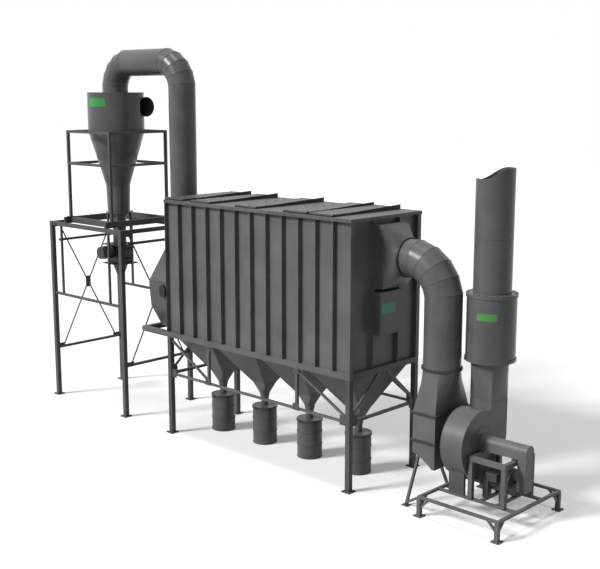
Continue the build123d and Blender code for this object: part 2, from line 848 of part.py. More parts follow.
def box_profile(inset):
    """Side view of the inlet box: its left lower corner is cut away in a curve."""
    x0 = fan_box_x0 + inset
    x1 = fan_box_x1 - inset
    z0 = box_low_z + inset
    start = (x0, 0, box_cut_z + inset)
    end = (x1 + box_cut_x, 0, z0)
    curve = (x0 + (end[0] - x0) * box_curve_x, 0, z0 + (start[2] - z0) * box_curve_z)
    outline = (
        Line((x0, 0, box_top_z), (x1, 0, box_top_z))
        + Line((x1, 0, box_top_z), (x1, 0, z0))
        + Line((x1, 0, z0), end)
        + ThreePointArc(end, curve, start)
        + Line(start, (x0, 0, box_top_z))
    )
    return make_face(outline)


def box_body(inset):
    face = Pos(0, fan_box_y1 - inset, 0) * box_profile(inset)
    return extrude(face, amount=fan_box_y1 - fan_box_y0 - 2 * inset, dir=(0, -1, 0))


inlet_box = box_body(0) - box_body(duct_wall)
eye_length = fan_x0 - fan_box_x1
eye_hole = Pos(fan_box_x1, shaft_y, shaft_z) * Rot(0, 90, 0) * Cylinder(eye_r - duct_wall, 4 * duct_wall)
for z in (box_top_z - box_flange_thick, box_mid_z):
    inlet_box += box(
        fan_box_x0 - box_flange, fan_box_x1 + box_flange, fan_box_y0 - box_flange, fan_box_y1 + box_flange,
        z, z + box_flange_thick,
    ) - box(
        fan_box_x0, fan_box_x1, fan_box_y0, fan_box_y1, z, z + box_flange_thick
    )
eye = Pos(fan_box_x1 + eye_length / 2, shaft_y, shaft_z) * Rot(0, 90, 0) * (
    Cylinder(eye_r, eye_length) - Cylinder(eye_r - duct_wall, eye_length)
)
add("fan_inlet_box", inlet_box - eye_hole + eye)
inlet_block = box_body(0)
box_legs = []
for foot_y, top_y in zip(box_leg_feet_y, box_leg_tops_y):
    low = (box_leg_x, foot_y, foot_thick)
    leg = cut(bar(low, (box_leg_x, top_y, box_cut_z + box_leg_size), box_leg_size), [inlet_block])
    pad = box(
        box_leg_x - box_leg_foot / 2, box_leg_x + box_leg_foot / 2,
        foot_y - box_leg_foot / 2, foot_y + box_leg_foot / 2, 0, foot_thick,
    )
    under = box(
        box_leg_x - box_leg_foot, box_leg_x + box_leg_foot,
        foot_y - box_leg_foot, foot_y + box_leg_foot, -box_leg_foot, 0,
    )
    box_legs.append((leg - under) + pad)
add("fan_inlet_legs", *box_legs)

# Scroll: four arcs of growing radius, then the upright throat.
def scroll_outline(inset):
    near = (0, shaft_y - scroll_near + inset, shaft_z)
    low = (0, shaft_y, shaft_z - scroll_bottom + inset)
    far = (0, throat_y1 - inset, shaft_z)
    tongue = (0, throat_y0 + inset, shaft_z + math.sqrt(scroll_top**2 - (throat_y0 - shaft_y) ** 2) - inset)
    top = (0, shaft_y, shaft_z + scroll_top - inset)
    diag = math.sqrt(0.5)

    def between(r_a, r_b, sy, sz):
        r = (r_a + r_b) / 2 - inset
        return (0, shaft_y + sy * r * diag, shaft_z + sz * r * diag)

    outline = (
        ThreePointArc(far, between(scroll_far, scroll_bottom, 1, -1), low)
        + ThreePointArc(low, between(scroll_bottom, scroll_near, -1, -1), near)
        + ThreePointArc(near, between(scroll_near, scroll_top, -1, 1), top)
        + Line(top, tongue)
        + Line(tongue, (0, throat_y0 + inset, throat_z))
        + Line((0, throat_y0 + inset, throat_z), (0, throat_y1 - inset, throat_z))
        + Line((0, throat_y1 - inset, throat_z), far)
    )
    return make_face(outline)


scroll = extrude(Pos(fan_x0, 0, 0) * scroll_outline(0), amount=fan_x1 - fan_x0, dir=(1, 0, 0))
scroll_in = extrude(
    Pos(fan_x0 + fan_wall, 0, 0) * scroll_outline(fan_wall),
    amount=fan_x1 - fan_x0 - 2 * fan_wall, dir=(1, 0, 0),
)
throat_cut = box(
    fan_x0 + fan_wall, fan_x1 - fan_wall, throat_y0 + fan_wall, throat_y1 - fan_wall,
    throat_z - 2 * fan_wall, throat_z,
)
scroll_eye = Pos(fan_x0, shaft_y, shaft_z) * Rot(0, 90, 0) * Cylinder(eye_r - duct_wall, 4 * fan_wall)
add("fan_scroll", scroll - scroll_in - throat_cut - scroll_eye)
scroll_feet = [
    cut(
        box(*scroll_foot_x, y - scroll_foot_half, y + scroll_foot_half, base_top, shaft_z),
        [scroll],
    )
    for y in base_inner_y
]
add("scroll_feet", *scroll_feet)

# Throat-to-stack piece, silencer and stack.
throat_face = rect_at(fan_x0, fan_x1, throat_y0, throat_y1, throat_z)
throat_face_in = inset_rect(fan_x0, fan_x1, throat_y0, throat_y1, throat_z, duct_wall)
stack_face = Pos(stack_x, stack_y, silencer_z0) * Circle(stack_r)
stack_face_in = Pos(stack_x, stack_y, silencer_z0) * Circle(stack_r - duct_wall)
add("fan_discharge", shell_loft(throat_face, stack_face, throat_face_in, stack_face_in))
silencer = tube(stack_x, stack_y, silencer_z0, silencer_z1, silencer_r, duct_wall)
for z in (silencer_z0, silencer_z1 - silencer_cap):
    silencer += ring(stack_x, stack_y, z, z + silencer_cap, silencer_r + silencer_lip, stack_r - duct_wall)
add("silencer", silencer)
stack_top = max(stack_cut_z)
cut_plane = Plane(
    origin=(stack_x, stack_y, 0),
    x_dir=(math.cos(math.radians(stack_cut_angle)), math.sin(math.radians(stack_cut_angle)), 0),
    z_dir=(math.sin(math.radians(stack_cut_angle)), -math.cos(math.radians(stack_cut_angle)), 0),
)
cut_points = [(spot * stack_r, z) for spot, z in zip(stack_cut_spots, stack_cut_z)]
cut_curve = Spline(*cut_points)
cut_over = stack_top + stack_r
cut_left = (cut_points[0][0], cut_over)
cut_right = (cut_points[-1][0], cut_over)
cut_edge = (
    cut_curve
    + Line(cut_curve @ 1, cut_right)
    + Line(cut_right, cut_left)
    + Line(cut_left, cut_curve @ 0)
)
cut_dir = cut_plane.z_dir + Vector(0, 0, math.tan(math.radians(stack_cut_tilt)))
stack_cutter = extrude(cut_plane * make_face(cut_edge), amount=2 * stack_r, dir=cut_dir, both=True)
add("stack", tube(stack_x, stack_y, silencer_z1, stack_top, stack_r, duct_wall) - stack_cutter)

# Fan base: a ladder frame on four corner legs with knee braces.
half_bar = base_bar / 2
base_z0 = base_top - base_depth
base_long = [
    box(base_x0, base_x1, y - half_bar, y + half_bar, base_z0, base_top)
    for y in (base_y0, *base_inner_y, base_y1)
]
add("base_long_beams", *base_long)
base_cross = []
ys = [base_y0, *base_inner_y, base_y1]
for x in (base_x0 + half_bar, base_x1 - half_bar):
    for y0, y1 in zip(ys, ys[1:]):
        base_cross.append(box(x - half_bar, x + half_bar, y0 + half_bar, y1 - half_bar, base_z0, base_top))
for x in motor_rail_x:
    base_cross.append(
        box(
            x - half_bar, x + half_bar, base_inner_y[0] + half_bar, base_inner_y[1] - half_bar,
            base_z0, base_top,
        )
    )
add("base_cross_beams", *base_cross)
base_legs = []
over_base = box(base_x0 - knee, base_x1 + knee, base_y0 - knee, base_y1 + knee, base_z0, base_top + knee)
half_base_leg = base_leg / 2
for x in (base_x0 + half_base_leg, base_x1 - half_base_leg):
    for y in (base_y0, base_y1):
        foot = box(x - base_foot / 2, x + base_foot / 2, y - base_foot / 2, y + base_foot / 2, 0, foot_thick)
        leg = foot + box(
            x - half_base_leg, x + half_base_leg, y - half_base_leg, y + half_base_leg, foot_thick, base_z0
        )
        to_middle_x = math.copysign(knee, (base_x0 + base_x1) / 2 - x)
        to_middle_y = math.copysign(knee, mid_y - y)
        for dx, dy in ((to_middle_x, 0), (0, to_middle_y)):
            reach = 1 + knee_over / knee
            high = (x + reach * dx, y + reach * dy, base_z0 + knee_over)
            brace = bar((x, y, base_z0 - knee), high, knee_bar)
            leg += brace - over_base
        base_legs.append(leg)
add("base_legs", *base_legs)

# A tie runs from the near leg of the inlet box up to the corner of the base.
tie_low = (box_leg_x, box_leg_feet_y[0], box_tie_z[0])
tie_high = (base_x0 + half_bar, base_y0, box_tie_z[1])
box_tie_bar = bar(tie_low, tie_high, box_tie)
add("fan_inlet_tie", cut(box_tie_bar, [box_legs[0], base_long[0], base_cross[0], base_legs[0]]))

# Stand over the motor, with its two bearings.
half_stand = stand_bar / 2
stand_z0 = stand_top - stand_bar
stand_posts = [
    box(x - half_stand, x + half_stand, y - half_stand, y + half_stand, base_top, stand_z0)
    for x in stand_x
    for y in stand_y
]
add("stand_posts", *stand_posts)
stand_bars = [
    box(x - half_stand, x + half_stand, stand_y[0] - half_stand, stand_y[1] + half_stand, stand_z0, stand_top)
    for x in stand_x
]
stand_rails = [
    box(stand_x[0] + half_stand, stand_x[1] - half_stand, y - half_stand, y + half_stand, stand_z0, stand_top)
    for y in stand_y
]
stand_ring = stand_bars[0] + stand_bars[1] + stand_rails[0] + stand_rails[1]
add("stand_top", stand_ring)
shaft = Pos((fan_x1 + belt_x0) / 2, shaft_y, shaft_z) * Rot(0, 90, 0) * Cylinder(shaft_r, belt_x0 - fan_x1)
for x in stand_x:
    shaft += box(
        x - block_half_x, x + block_half_x, shaft_y - block_half_y, shaft_y + block_half_y,
        stand_top, stand_top + block_base,
    )
    shaft += box(
        x - block_half_x, x + block_half_x, shaft_y - block_r, shaft_y + block_r,
        stand_top + block_base, shaft_z,
    )
    shaft += Pos(x, shaft_y, shaft_z) * Rot(0, 90, 0) * Cylinder(block_r, 2 * block_half_x)
add("shaft_and_bearings", shaft)


def guard_face(half, low_z, inset):
    """Upturned U: half-round top over straight sides."""
    half_in = half - inset
    outline = (
        Line((0, shaft_y - half_in, low_z), (0, shaft_y - half_in, guard_z))
        + ThreePointArc(
            (0, shaft_y - half_in, guard_z), (0, shaft_y, guard_z + half_in), (0, shaft_y + half_in, guard_z)
        )
        + Line((0, shaft_y + half_in, guard_z), (0, shaft_y + half_in, low_z))
        + Line((0, shaft_y + half_in, low_z), (0, shaft_y - half_in, low_z))
    )
    return make_face(outline)


guard_outer = extrude(
    Pos(fan_x1, 0, 0) * guard_face(guard_half, guard_low_z, 0), amount=belt_x0 - fan_x1, dir=(1, 0, 0)
)
guard_inner = extrude(
    Pos(fan_x1, 0, 0) * guard_face(guard_half, guard_low_z, guard_wall),
    amount=belt_x0 - fan_x1, dir=(1, 0, 0),
)
add("shaft_guard", guard_outer - guard_inner)
belt_face = Pos(belt_x0, 0, 0) * guard_face(guard_half, belt_low_z, 0)
add("belt_guard", extrude(belt_face, amount=belt_x1 - belt_x0, dir=(1, 0, 0)))

motor_body = Cylinder(motor_r, motor_x1 - motor_x0)
motor = Pos((motor_x0 + motor_x1) / 2, mid_y, motor_z) * Rot(0, 90, 0) * motor_body
motor_stub = Cylinder(motor_stub_r, belt_x0 - motor_x1)
motor += Pos((motor_x1 + belt_x0) / 2, mid_y, motor_z) * Rot(0, 90, 0) * motor_stub
for x in motor_rail_x:
    for sign in (-1, 1):
        y = mid_y + sign * motor_foot_half
        motor += box(x - motor_foot, x + motor_foot, y - motor_foot, y + motor_foot, base_top, motor_z)
add("fan_motor", motor)

# Shift everything so that the origin is on the ground under the middle of the plant.
# The outermost edges are the foot plates of the tower, of the fan base and of the legs.
plant_x0 = tower_x[0] - foot_size / 2
plant_x1 = base_x1 - half_base_leg + base_foot / 2
shift = Pos(-(plant_x0 + plant_x1) / 2, -mid_y, 0)
for name, solids in pieces.items():
    shape = Compound(children=[shift * solid for solid in solids])
    export_step(shape, "parts/%s.step" % name)
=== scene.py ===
import bpy
import math
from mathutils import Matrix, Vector


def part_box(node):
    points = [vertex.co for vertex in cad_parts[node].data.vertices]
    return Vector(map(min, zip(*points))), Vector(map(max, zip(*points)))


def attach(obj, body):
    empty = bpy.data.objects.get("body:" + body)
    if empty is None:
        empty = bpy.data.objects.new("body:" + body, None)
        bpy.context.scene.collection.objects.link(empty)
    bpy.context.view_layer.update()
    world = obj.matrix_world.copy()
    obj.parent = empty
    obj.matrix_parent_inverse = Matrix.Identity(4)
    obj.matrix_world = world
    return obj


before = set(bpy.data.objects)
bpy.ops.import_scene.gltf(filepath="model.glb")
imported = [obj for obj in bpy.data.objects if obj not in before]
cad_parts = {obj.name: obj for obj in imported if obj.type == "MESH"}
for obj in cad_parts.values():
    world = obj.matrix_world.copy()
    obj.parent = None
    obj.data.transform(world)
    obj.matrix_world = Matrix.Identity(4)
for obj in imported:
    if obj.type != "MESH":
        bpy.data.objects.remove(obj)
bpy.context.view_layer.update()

# Filter body: folded steel pans, bolted to each other through their standing ribs.
# The sheets are sprayed with one coat of satin grey paint, which has gathered some
# dust on its ledges and faint washed streaks below them.


class Shade:
    """A shader socket that is reckoned with like a number."""

    def __init__(self, tree, socket=None):
        self.tree = tree
        self.socket = socket

    def node(self, kind, settings=None, inputs=None, out=0):
        """Any shader node, from its settings and the values or links of its sockets."""
        made = self.tree.nodes.new(kind)
        for key, value in (settings or {}).items():
            if key == "stops":
                ramp = made.color_ramp.elements
                ramp[0].position, ramp[1].position = value[0][0], value[-1][0]
                for stop, (at, level) in zip(ramp, (value[0], value[-1])):
                    stop.color = (level, level, level, 1)
                for at, level in value[1:-1]:
                    ramp.new(at).color = (level, level, level, 1)
            else:
                setattr(made, key, value)
        for key, value in (inputs or {}).items():
            if isinstance(value, Shade):
                self.tree.links.new(value.socket, made.inputs[key])
            else:
                made.inputs[key].default_value = value
        return Shade(self.tree, made.outputs[out])

    def math(self, operation, first, second):
        return self.node("ShaderNodeMath", {"operation": operation}, {0: first, 1: second})

    def __add__(self, other):
        return self.math("ADD", self, other)

    def __sub__(self, other):
        return self.math("SUBTRACT", self, other)

    def __mul__(self, other):
        return self.math("MULTIPLY", self, other)

    def __rsub__(self, other):
        return self.math("SUBTRACT", other, self)

    __radd__ = __add__
    __rmul__ = __mul__

    def blend(self, first, second):
        """A colour between two others, with this socket as the share of the second."""
        return self.node("ShaderNodeMix", {"data_type": "RGBA"}, {0: self, 6: first, 7: second}, 2)


def toned(colour, share, lift=0.0):
    """A colour made darker or paler."""
    return tuple(share * part + lift for part in colour[:3]) + (1,)


def painted(name, colour, roughness, dust=0.4, streak=0.35, peel=0.06, level=0.3):
    """Sprayed paint over steel, with cloudy tone, dust on what faces up, and streaks."""
    paint = bpy.data.materials.new(name)
    paint.use_nodes = True
    tree = paint.node_tree
    skin = tree.nodes["Principled BSDF"]
    skin.inputs["Specular IOR Level"].default_value = level
    pen = Shade(tree)
    place = pen.node("ShaderNodeTexCoord", out=3)
    faces = pen.node("ShaderNodeNewGeometry", out=1)
    upward = pen.node("ShaderNodeSeparateXYZ", None, {0: faces}, 2)
    cloud = pen.node("ShaderNodeTexNoise", None, {"Vector": place, "Scale": 1.3, "Detail": 5.0})
    speck = pen.node("ShaderNodeTexNoise", None, {"Vector": place, "Scale": 34.0, "Detail": 3.0})
    tall = pen.node("ShaderNodeMapping", None, {"Vector": place, "Scale": (7.0, 7.0, 0.35)})
    run = pen.node("ShaderNodeTexNoise", None, {"Vector": tall, "Scale": 1.4, "Detail": 4.0})
    runs = pen.node("ShaderNodeValToRGB", {"stops": ((0.5, 0.0), (0.78, 1.0))}, {0: run})
    settled = pen.node("ShaderNodeValToRGB", {"stops": ((0.55, 0.0), (1.0, 1.0))}, {0: upward})
    powder = settled * (cloud * 0.9 + speck * 0.35) * dust
    washed = runs * streak * (1 - settled)
    dark, light = toned(colour, 0.62), toned(colour, 1.12)
    pale, dusty = toned(colour, 0.86, 0.035), toned(colour, 0.55, 0.11)
    mottle = pen.node("ShaderNodeValToRGB", {"stops": ((0.3, 0.25), (0.7, 1.0))}, {0: cloud})
    tone = mottle.blend(dark, light)
    tone = washed.blend(tone, pale)
    tone = powder.blend(tone, dusty)
    rough = roughness + (cloud - 0.5) * 0.22 + powder * 0.4 + washed * 0.15
    grain = pen.node("ShaderNodeTexNoise", None, {"Vector": place, "Scale": 2.2, "Detail": 1.0})
    relief = pen.node("ShaderNodeBump", None, {"Strength": peel, "Distance": 0.02, "Height": grain})
    for socket, link in (("Base Color", tone), ("Roughness", rough), ("Normal", relief)):
        tree.links.new(link.socket, skin.inputs[socket])
    return paint


def dress(names, paint):
    """Gives CAD nodes their finish."""
    for name in names:
        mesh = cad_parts[name].data
        mesh.materials.clear()
        mesh.materials.append(paint)


body_paint = painted("body_paint", (0.135, 0.136, 0.138, 1), 0.42)
# The roof's paint is a darker copy of the body's paint: painted shade on the roof's top.
roof_shaded_paint = painted("roof_shaded_paint", (0.115, 0.116, 0.118, 1), 0.44, dust=0.3)
dress(("side_walls", "inlet_end_wall", "outlet_end_wall"), body_paint)
dress(("roof",), roof_shaded_paint)


def piece(name, mesh, paint):
    """A finished mesh becomes a piece of the part, with its place in the mesh."""
    made = bpy.data.objects.new(name, mesh)
    bpy.context.scene.collection.objects.link(made)
    if paint is not None:
        mesh.materials.clear()
        mesh.materials.append(paint)
    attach(made, "root")
    return made


def grown(name, mesh, tree, values):
    """The plain mesh that a Geometry Nodes tree makes of a mesh of points or edges."""
    seed = bpy.data.objects.new(name + "_seed", mesh)
    bpy.context.scene.collection.objects.link(seed)
    made = seed.modifiers.new(name, "NODES")
    made.node_group = tree
    for item in tree.interface.items_tree:
        if item.in_out == "INPUT" and item.name in values:
            made[item.identifier] = values[item.name]
    seen = seed.evaluated_get(bpy.context.evaluated_depsgraph_get())
    solid = bpy.data.meshes.new_from_object(seen)
    solid.name = name
    bpy.data.objects.remove(seed)
    return solid


def node_tree(name, sizes):
    """A Geometry Nodes tree, its named inputs and the maker of its nodes."""
    tree = bpy.data.node_groups.new(name, "GeometryNodeTree")
    face = tree.interface
    face.new_socket("Geometry", in_out="INPUT", socket_type="NodeSocketGeometry")
    for label, value in sizes:
        face.new_socket(label, in_out="INPUT", socket_type="NodeSocketFloat").default_value = value
    face.new_socket("Material", in_out="INPUT", socket_type="NodeSocketMaterial")
    face.new_socket("Geometry", in_out="OUTPUT", socket_type="NodeSocketGeometry")

    def step(kind, inputs=None, **settings):
        """One node, from the values or links of its sockets, which gives its first output."""
        made = tree.nodes.new(kind)
        for key, value in settings.items():
            setattr(made, key, value)
        for key, value in (inputs or {}).items():
            if isinstance(value, (bpy.types.NodeSocket, list)):
                for source in value if isinstance(value, list) else [value]:
                    tree.links.new(source, made.inputs[key])
            else:
                made.inputs[key].default_value = value
        return made.outputs[0] if made.outputs else None

    return tree, tree.nodes.new("NodeGroupInput").outputs, step


# A hexagon head on a round washer, stood on each point along its facing.
head_sides, washer_sides = 6, 10
washer_wider, washer_thinner, head_rise = 1.55, 0.5, 0.6
bolt_tree, given, step = node_tree("bolt_heads", (("Radius", 0.012), ("Height", 0.008)))
washer_r, washer_high, head_up = (
    step("ShaderNodeMath", {0: given[label], 1: share}, operation="MULTIPLY")
    for label, share in (("Radius", washer_wider), ("Height", washer_thinner), ("Height", head_rise))
)
head, washer = (
    step("GeometryNodeMeshCylinder", {"Vertices": sides, "Radius": radius, "Depth": height})
    for sides, radius, height in (
        (head_sides, given["Radius"], given["Height"]), (washer_sides, washer_r, washer_high),
    )
)
rise = step("ShaderNodeCombineXYZ", {"Z": head_up})
raised = step("GeometryNodeTransform", {"Geometry": head, "Translation": rise})
bolt = step("GeometryNodeJoinGeometry", {0: [raised, washer]})
facing = step("GeometryNodeInputNamedAttribute", {"Name": "facing"}, data_type="FLOAT_VECTOR")
turned = step("FunctionNodeAlignRotationToVector", {"Vector": facing}, axis="Z")
stood = step("GeometryNodeInstanceOnPoints", {"Points": given[0], "Instance": bolt, "Rotation": turned})
solid = step("GeometryNodeRealizeInstances", {0: stood})
coated = step("GeometryNodeSetMaterial", {"Geometry": solid, "Material": given["Material"]})
step("NodeGroupOutput", {0: coated})
bolt_paint = painted("bolt_paint", (0.09, 0.09, 0.092, 1), 0.5, dust=0.2, streak=0.0)


def bolts(name, spots, size):
    """Bolt heads of one radius and height at spots: pairs of a point and the way it faces."""
    mesh = bpy.data.meshes.new(name + "_points")
    mesh.from_pydata([tuple(point) for point, way in spots], [], [])
    ways = mesh.attributes.new("facing", "FLOAT_VECTOR", "POINT")
    ways.data.foreach_set("vector", [part for point, way in spots for part in way])
    values = {"Radius": size[0], "Height": size[1], "Material": bolt_paint}
    return piece(name, grown(name, mesh, bolt_tree, values), None)


def row(start, end, count):
    """Even places from start to end, both included."""
    return [start + (end - start) * i / (count - 1) for i in range(count)]


roof_low, roof_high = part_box("roof")
wall_low, wall_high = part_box("side_walls")
panels, lip_drop, lip_count, lip_end_count = 12, 0.038, 24, 9
lip_bolt, rib_bolt = (0.011, 0.008), (0.01, 0.007)
body_bay = (wall_high.x - wall_low.x) / panels
lip_z = roof_high.z - lip_drop
roof_spots = []
for i in range(lip_count):
    along = roof_low.x + (i + 0.5) * (roof_high.x - roof_low.x) / lip_count
    for y, way in ((roof_low.y, -1), (roof_high.y, 1)):
        roof_spots.append(((along, y, lip_z), (0, way, 0)))
for i in range(lip_end_count):
    across = roof_low.y + (i + 0.5) * (roof_high.y - roof_low.y) / lip_end_count
    for x, way in ((roof_low.x, -1), (roof_high.x, 1)):
        roof_spots.append(((x, across, lip_z), (way, 0, 0)))
bolts("roof_lip_bolts", roof_spots, lip_bolt)
rib_half, rib_inset, rib_end, rib_count = 0.005, 0.045, 0.12, 9
rib_spots = []
for i in range(1, panels):
    rib_x = wall_low.x + body_bay * i
    for z in row(wall_low.z + rib_end, wall_high.z - rib_end, rib_count):
        for y in (wall_low.y + rib_inset, wall_high.y - rib_inset):
            rib_spots += [((rib_x + way * rib_half, y, z), (way, 0, 0)) for way in (1, -1)]
bolts("rib_bolts", rib_spots, rib_bolt)

# Roof lids: each is a shallow folded pan, held down by a row of bolts along both long
# edges on a black rubber seal. A dark plate, higher at its far end, stands on the
# right-hand edge of each as painted shade: it paints the lid's shaded side and its
# shadow on the roof. The lids are painted darker than the roof, as painted shade. They
# are drawn tight and don't open here.
# The lids' paint is a darker copy of the body's paint: painted shade on their tops.
lid_shaded_paint = painted("lid_shaded_paint", (0.095, 0.096, 0.098, 1), 0.45, dust=0.15)
seal_paint = painted("seal_rubber", (0.012, 0.012, 0.012, 1), 0.6, dust=0.15, streak=0.0)
# Near-black paint for the painted shade and shadow along each lid's right-hand edge.
lid_edge_shade_paint = painted("lid_edge_shade_paint", (0.009, 0.009, 0.0095, 1), 0.55, dust=0.1, streak=0.0)
dress(("roof_lids",), lid_shaded_paint)


def box(low, high):
    """The eight corners of a block between two opposite ones."""
    return [
        (x, y, z) for x in (low[0], high[0]) for y in (low[1], high[1]) for z in (low[2], high[2])
    ]


def blocks(name, bodies, paint, round_by=0.0):
    """Plates and bars in one piece, each from its eight corners."""
    sides = (0, 1, 3, 2), (4, 6, 7, 5), (0, 4, 5, 1), (2, 3, 7, 6), (0, 2, 6, 4), (1, 5, 7, 3)
    points, faces = [], []
    for body in bodies:
        faces += [tuple(len(points) + corner for corner in side) for side in sides]
        points += body
    mesh = bpy.data.meshes.new(name)
    mesh.from_pydata(points, [], faces)
    made = piece(name, mesh, paint)
    if round_by:
        edge = made.modifiers.new("edge", "BEVEL")
        edge.width = round_by
        edge.segments = 2
    return made


lid_low, lid_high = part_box("roof_lids")
lid_right = [lid_high.x - back for back in (4.54, 3.64, 2.18, 0.72, 0.0)]
lid_long, seal_out, seal_high = 0.63, 0.012, 0.018
edge_shade_thick, edge_shade_near, edge_shade_far = 0.006, 0.028, 0.1
lid_bolt, lid_bolt_in, lid_bolt_end, lid_bolt_count = (0.012, 0.01), 0.035, 0.08, 8
seal_y0, seal_y1 = lid_low.y - seal_out, lid_high.y + seal_out
seal_bars, edge_shade_plates, lid_spots = [], [], []
for right in lid_right:
    left = right - lid_long
    for x0, x1, y0, y1 in (
        (left - seal_out, left, seal_y0, seal_y1),
        (right, right + seal_out, seal_y0, seal_y1),
        (left, right, seal_y0, lid_low.y),
        (left, right, lid_high.y, seal_y1),
    ):
        seal_bars.append(box((x0, y0, lid_low.z), (x1, y1, lid_low.z + seal_high)))
    # A near-black wedge plate on the right-hand edge: painted shade of the lid's side and painted shadow
    # on the roof.
    edge_shade_plates.append([
        (x, y, z)
        for x in (right + seal_out, right + seal_out + edge_shade_thick)
        for y, height in ((seal_y0, edge_shade_near), (seal_y1, edge_shade_far))
        for z in (lid_low.z, lid_low.z + height)
    ])
    for y in row(lid_low.y + lid_bolt_end, lid_high.y - lid_bolt_end, lid_bolt_count):
        for x in (left + lid_bolt_in, right - lid_bolt_in):
            lid_spots.append(((x, y, lid_high.z), (0, 0, 1)))
blocks("lid_seals", seal_bars, seal_paint)
blocks("lid_edge_shade_plates", edge_shade_plates, lid_edge_shade_paint)
bolts("lid_bolts", lid_spots, lid_bolt)

# Hoppers: four pyramids of sheet, squeezed to a round neck, welded along their edges.
# Each weld is a small rippled bead, under a coat like the body's.
bead_sides, ripple_scale = 6, 60
bead_tree, given, step = node_tree(
    "weld_bead", (("Radius", 0.005), ("Step", 0.02), ("Ripple", 0.0012))
)
path = step("GeometryNodeMeshToCurve", {0: given[0]})
even = step("GeometryNodeResampleCurve", {0: path, "Length": given["Step"]}, mode="LENGTH")
round_bar = step(
    "GeometryNodeCurvePrimitiveCircle", {"Resolution": bead_sides, "Radius": given["Radius"]}
)
tube = step("GeometryNodeCurveToMesh", {0: even, "Profile Curve": round_bar})
place = step("GeometryNodeInputPosition")
swell = step("ShaderNodeTexNoise", {"Vector": place, "Scale": ripple_scale})
centred = step("ShaderNodeMath", {0: swell, 1: 0.5}, operation="SUBTRACT")
amount = step("ShaderNodeMath", {0: centred, 1: given["Ripple"]}, operation="MULTIPLY")
outward = step("GeometryNodeInputNormal")
push = step("ShaderNodeVectorMath", {0: outward, "Scale": amount}, operation="SCALE")
rippled = step("GeometryNodeSetPosition", {0: tube, "Offset": push})
smooth = step("GeometryNodeSetShadeSmooth", {0: rippled})
solid = step("GeometryNodeRealizeInstances", {0: smooth})
coated = step("GeometryNodeSetMaterial", {"Geometry": solid, "Material": given["Material"]})
step("NodeGroupOutput", {0: coated})


def beads(name, lines, radius, paint, step=0.03, ripple=0.4):
    """Weld beads along lines of points. A line whose ends meet is closed."""
    points, edges = [], []
    for line in lines:
        at = len(points)
        closed = (Vector(line[0]) - Vector(line[-1])).length < 1e-6
        kept = line[:-1] if closed else line
        points += [tuple(point) for point in kept]
        edges += [(at + i, at + i + 1) for i in range(len(kept) - 1)]
        if closed:
            edges.append((at + len(kept) - 1, at))
    mesh = bpy.data.meshes.new(name + "_lines")
    mesh.from_pydata(points, edges, [])
    values = {"Radius": radius, "Step": step, "Ripple": radius * ripple, "Material": paint}
    return piece(name, grown(name, mesh, bead_tree, values), None)


def hoop(centre, radius, normal=(0, 0, 1), first=None, stretch=1.0, count=48):
    """A closed ring of points, which may be drawn out along its first direction."""
    axis = Vector(normal).normalized()
    across = Vector(first) if first else axis.orthogonal().normalized()
    other = axis.cross(across)
    wide, deep = across * radius * stretch, other * radius
    return [
        Vector(centre) + wide * math.cos(turn) + deep * math.sin(turn)
        for turn in [2 * math.pi * i / count for i in range(count)] + [0.0]
    ]


def corners(a0, b0, a1, b1):
    """The corners of a rectangle in a row, with the first one again at the end."""
    return [(a0, b0), (a1, b0), (a1, b1), (a0, b1), (a0, b0)]


hopper_paint = painted("hopper_paint", (0.13, 0.131, 0.133, 1), 0.44)
dress(("hoppers",), hopper_paint)
hopper_low, hopper_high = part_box("hoppers")
hopper_count, hopper_gap, weld_r = 4, 0.015, 0.005
hopper_bay = (wall_high.x - wall_low.x) / hopper_count
hopper_x = [wall_low.x + hopper_bay * (i + 0.5) for i in range(hopper_count)]
hopper_half = hopper_bay / 2 - hopper_gap
knee_z, rim_z, knee_half, neck_r = 1.449, 2.39, 0.2, 0.08
neck_weld_z, neck_weld_r = hopper_low.z + 0.005, neck_r + 0.002
hopper_welds = []
for x in hopper_x:
    x0, x1 = max(x - hopper_half, hopper_low.x), min(x + hopper_half, hopper_high.x)
    square = corners(x - knee_half, -knee_half, x + knee_half, knee_half)
    knee = [(*corner, knee_z) for corner in square]
    rim = [(*corner, rim_z) for corner in corners(x0, hopper_low.y, x1, hopper_high.y)]
    hopper_welds += [[low, high] for low, high in zip(knee[:4], rim[:4])]
    hopper_welds.append(knee)
    hopper_welds.append(hoop((x, 0, neck_weld_z), neck_weld_r, count=24))
beads("hopper_welds", hopper_welds, weld_r, hopper_paint)

# Drums: ordinary 200 litre steel drums with rolled hoops, darker and glossier than the
# plant. A clamp ring drawn together by one bolt holds each lid.
drum_paint = painted(
    "drum_paint", (0.098, 0.099, 0.103, 1), 0.36, dust=0.3, streak=0.1, peel=0.1, level=0.4
)
dress(("drums",), drum_paint)
clamp_paint = painted("clamp_paint", (0.05, 0.05, 0.052, 1), 0.4, dust=0.1, streak=0.0)
drum_r, drum_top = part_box("drums")[1].y, 0.88
clamp_drops, clamp_sunk, clamp_thick = (0.045, 0.012), 0.001, 0.009
clamps = [hoop((x, 0, drum_top - drop), drum_r - clamp_sunk) for x in hopper_x for drop in clamp_drops]
beads("drum_clamps", clamps, clamp_thick, clamp_paint, step=0.05, ripple=0.0)
chime_z, chime_sunk, chime_thick = 0.012, 0.006, 0.008
chimes = [hoop((x, 0, chime_z), drum_r - chime_sunk) for x in hopper_x]
beads("drum_chimes", chimes, chime_thick, drum_paint, step=0.05, ripple=0.0)
lug_thick, lug_out, lug_in, lug_low, lug_high = 0.01, 0.022, 0.004, 0.05, 0.01
lug_sides, clamp_bolt, clamp_bolt_out, clamp_bolt_down = (-0.02, 0.012), (0.007, 0.006), 0.012, 0.03
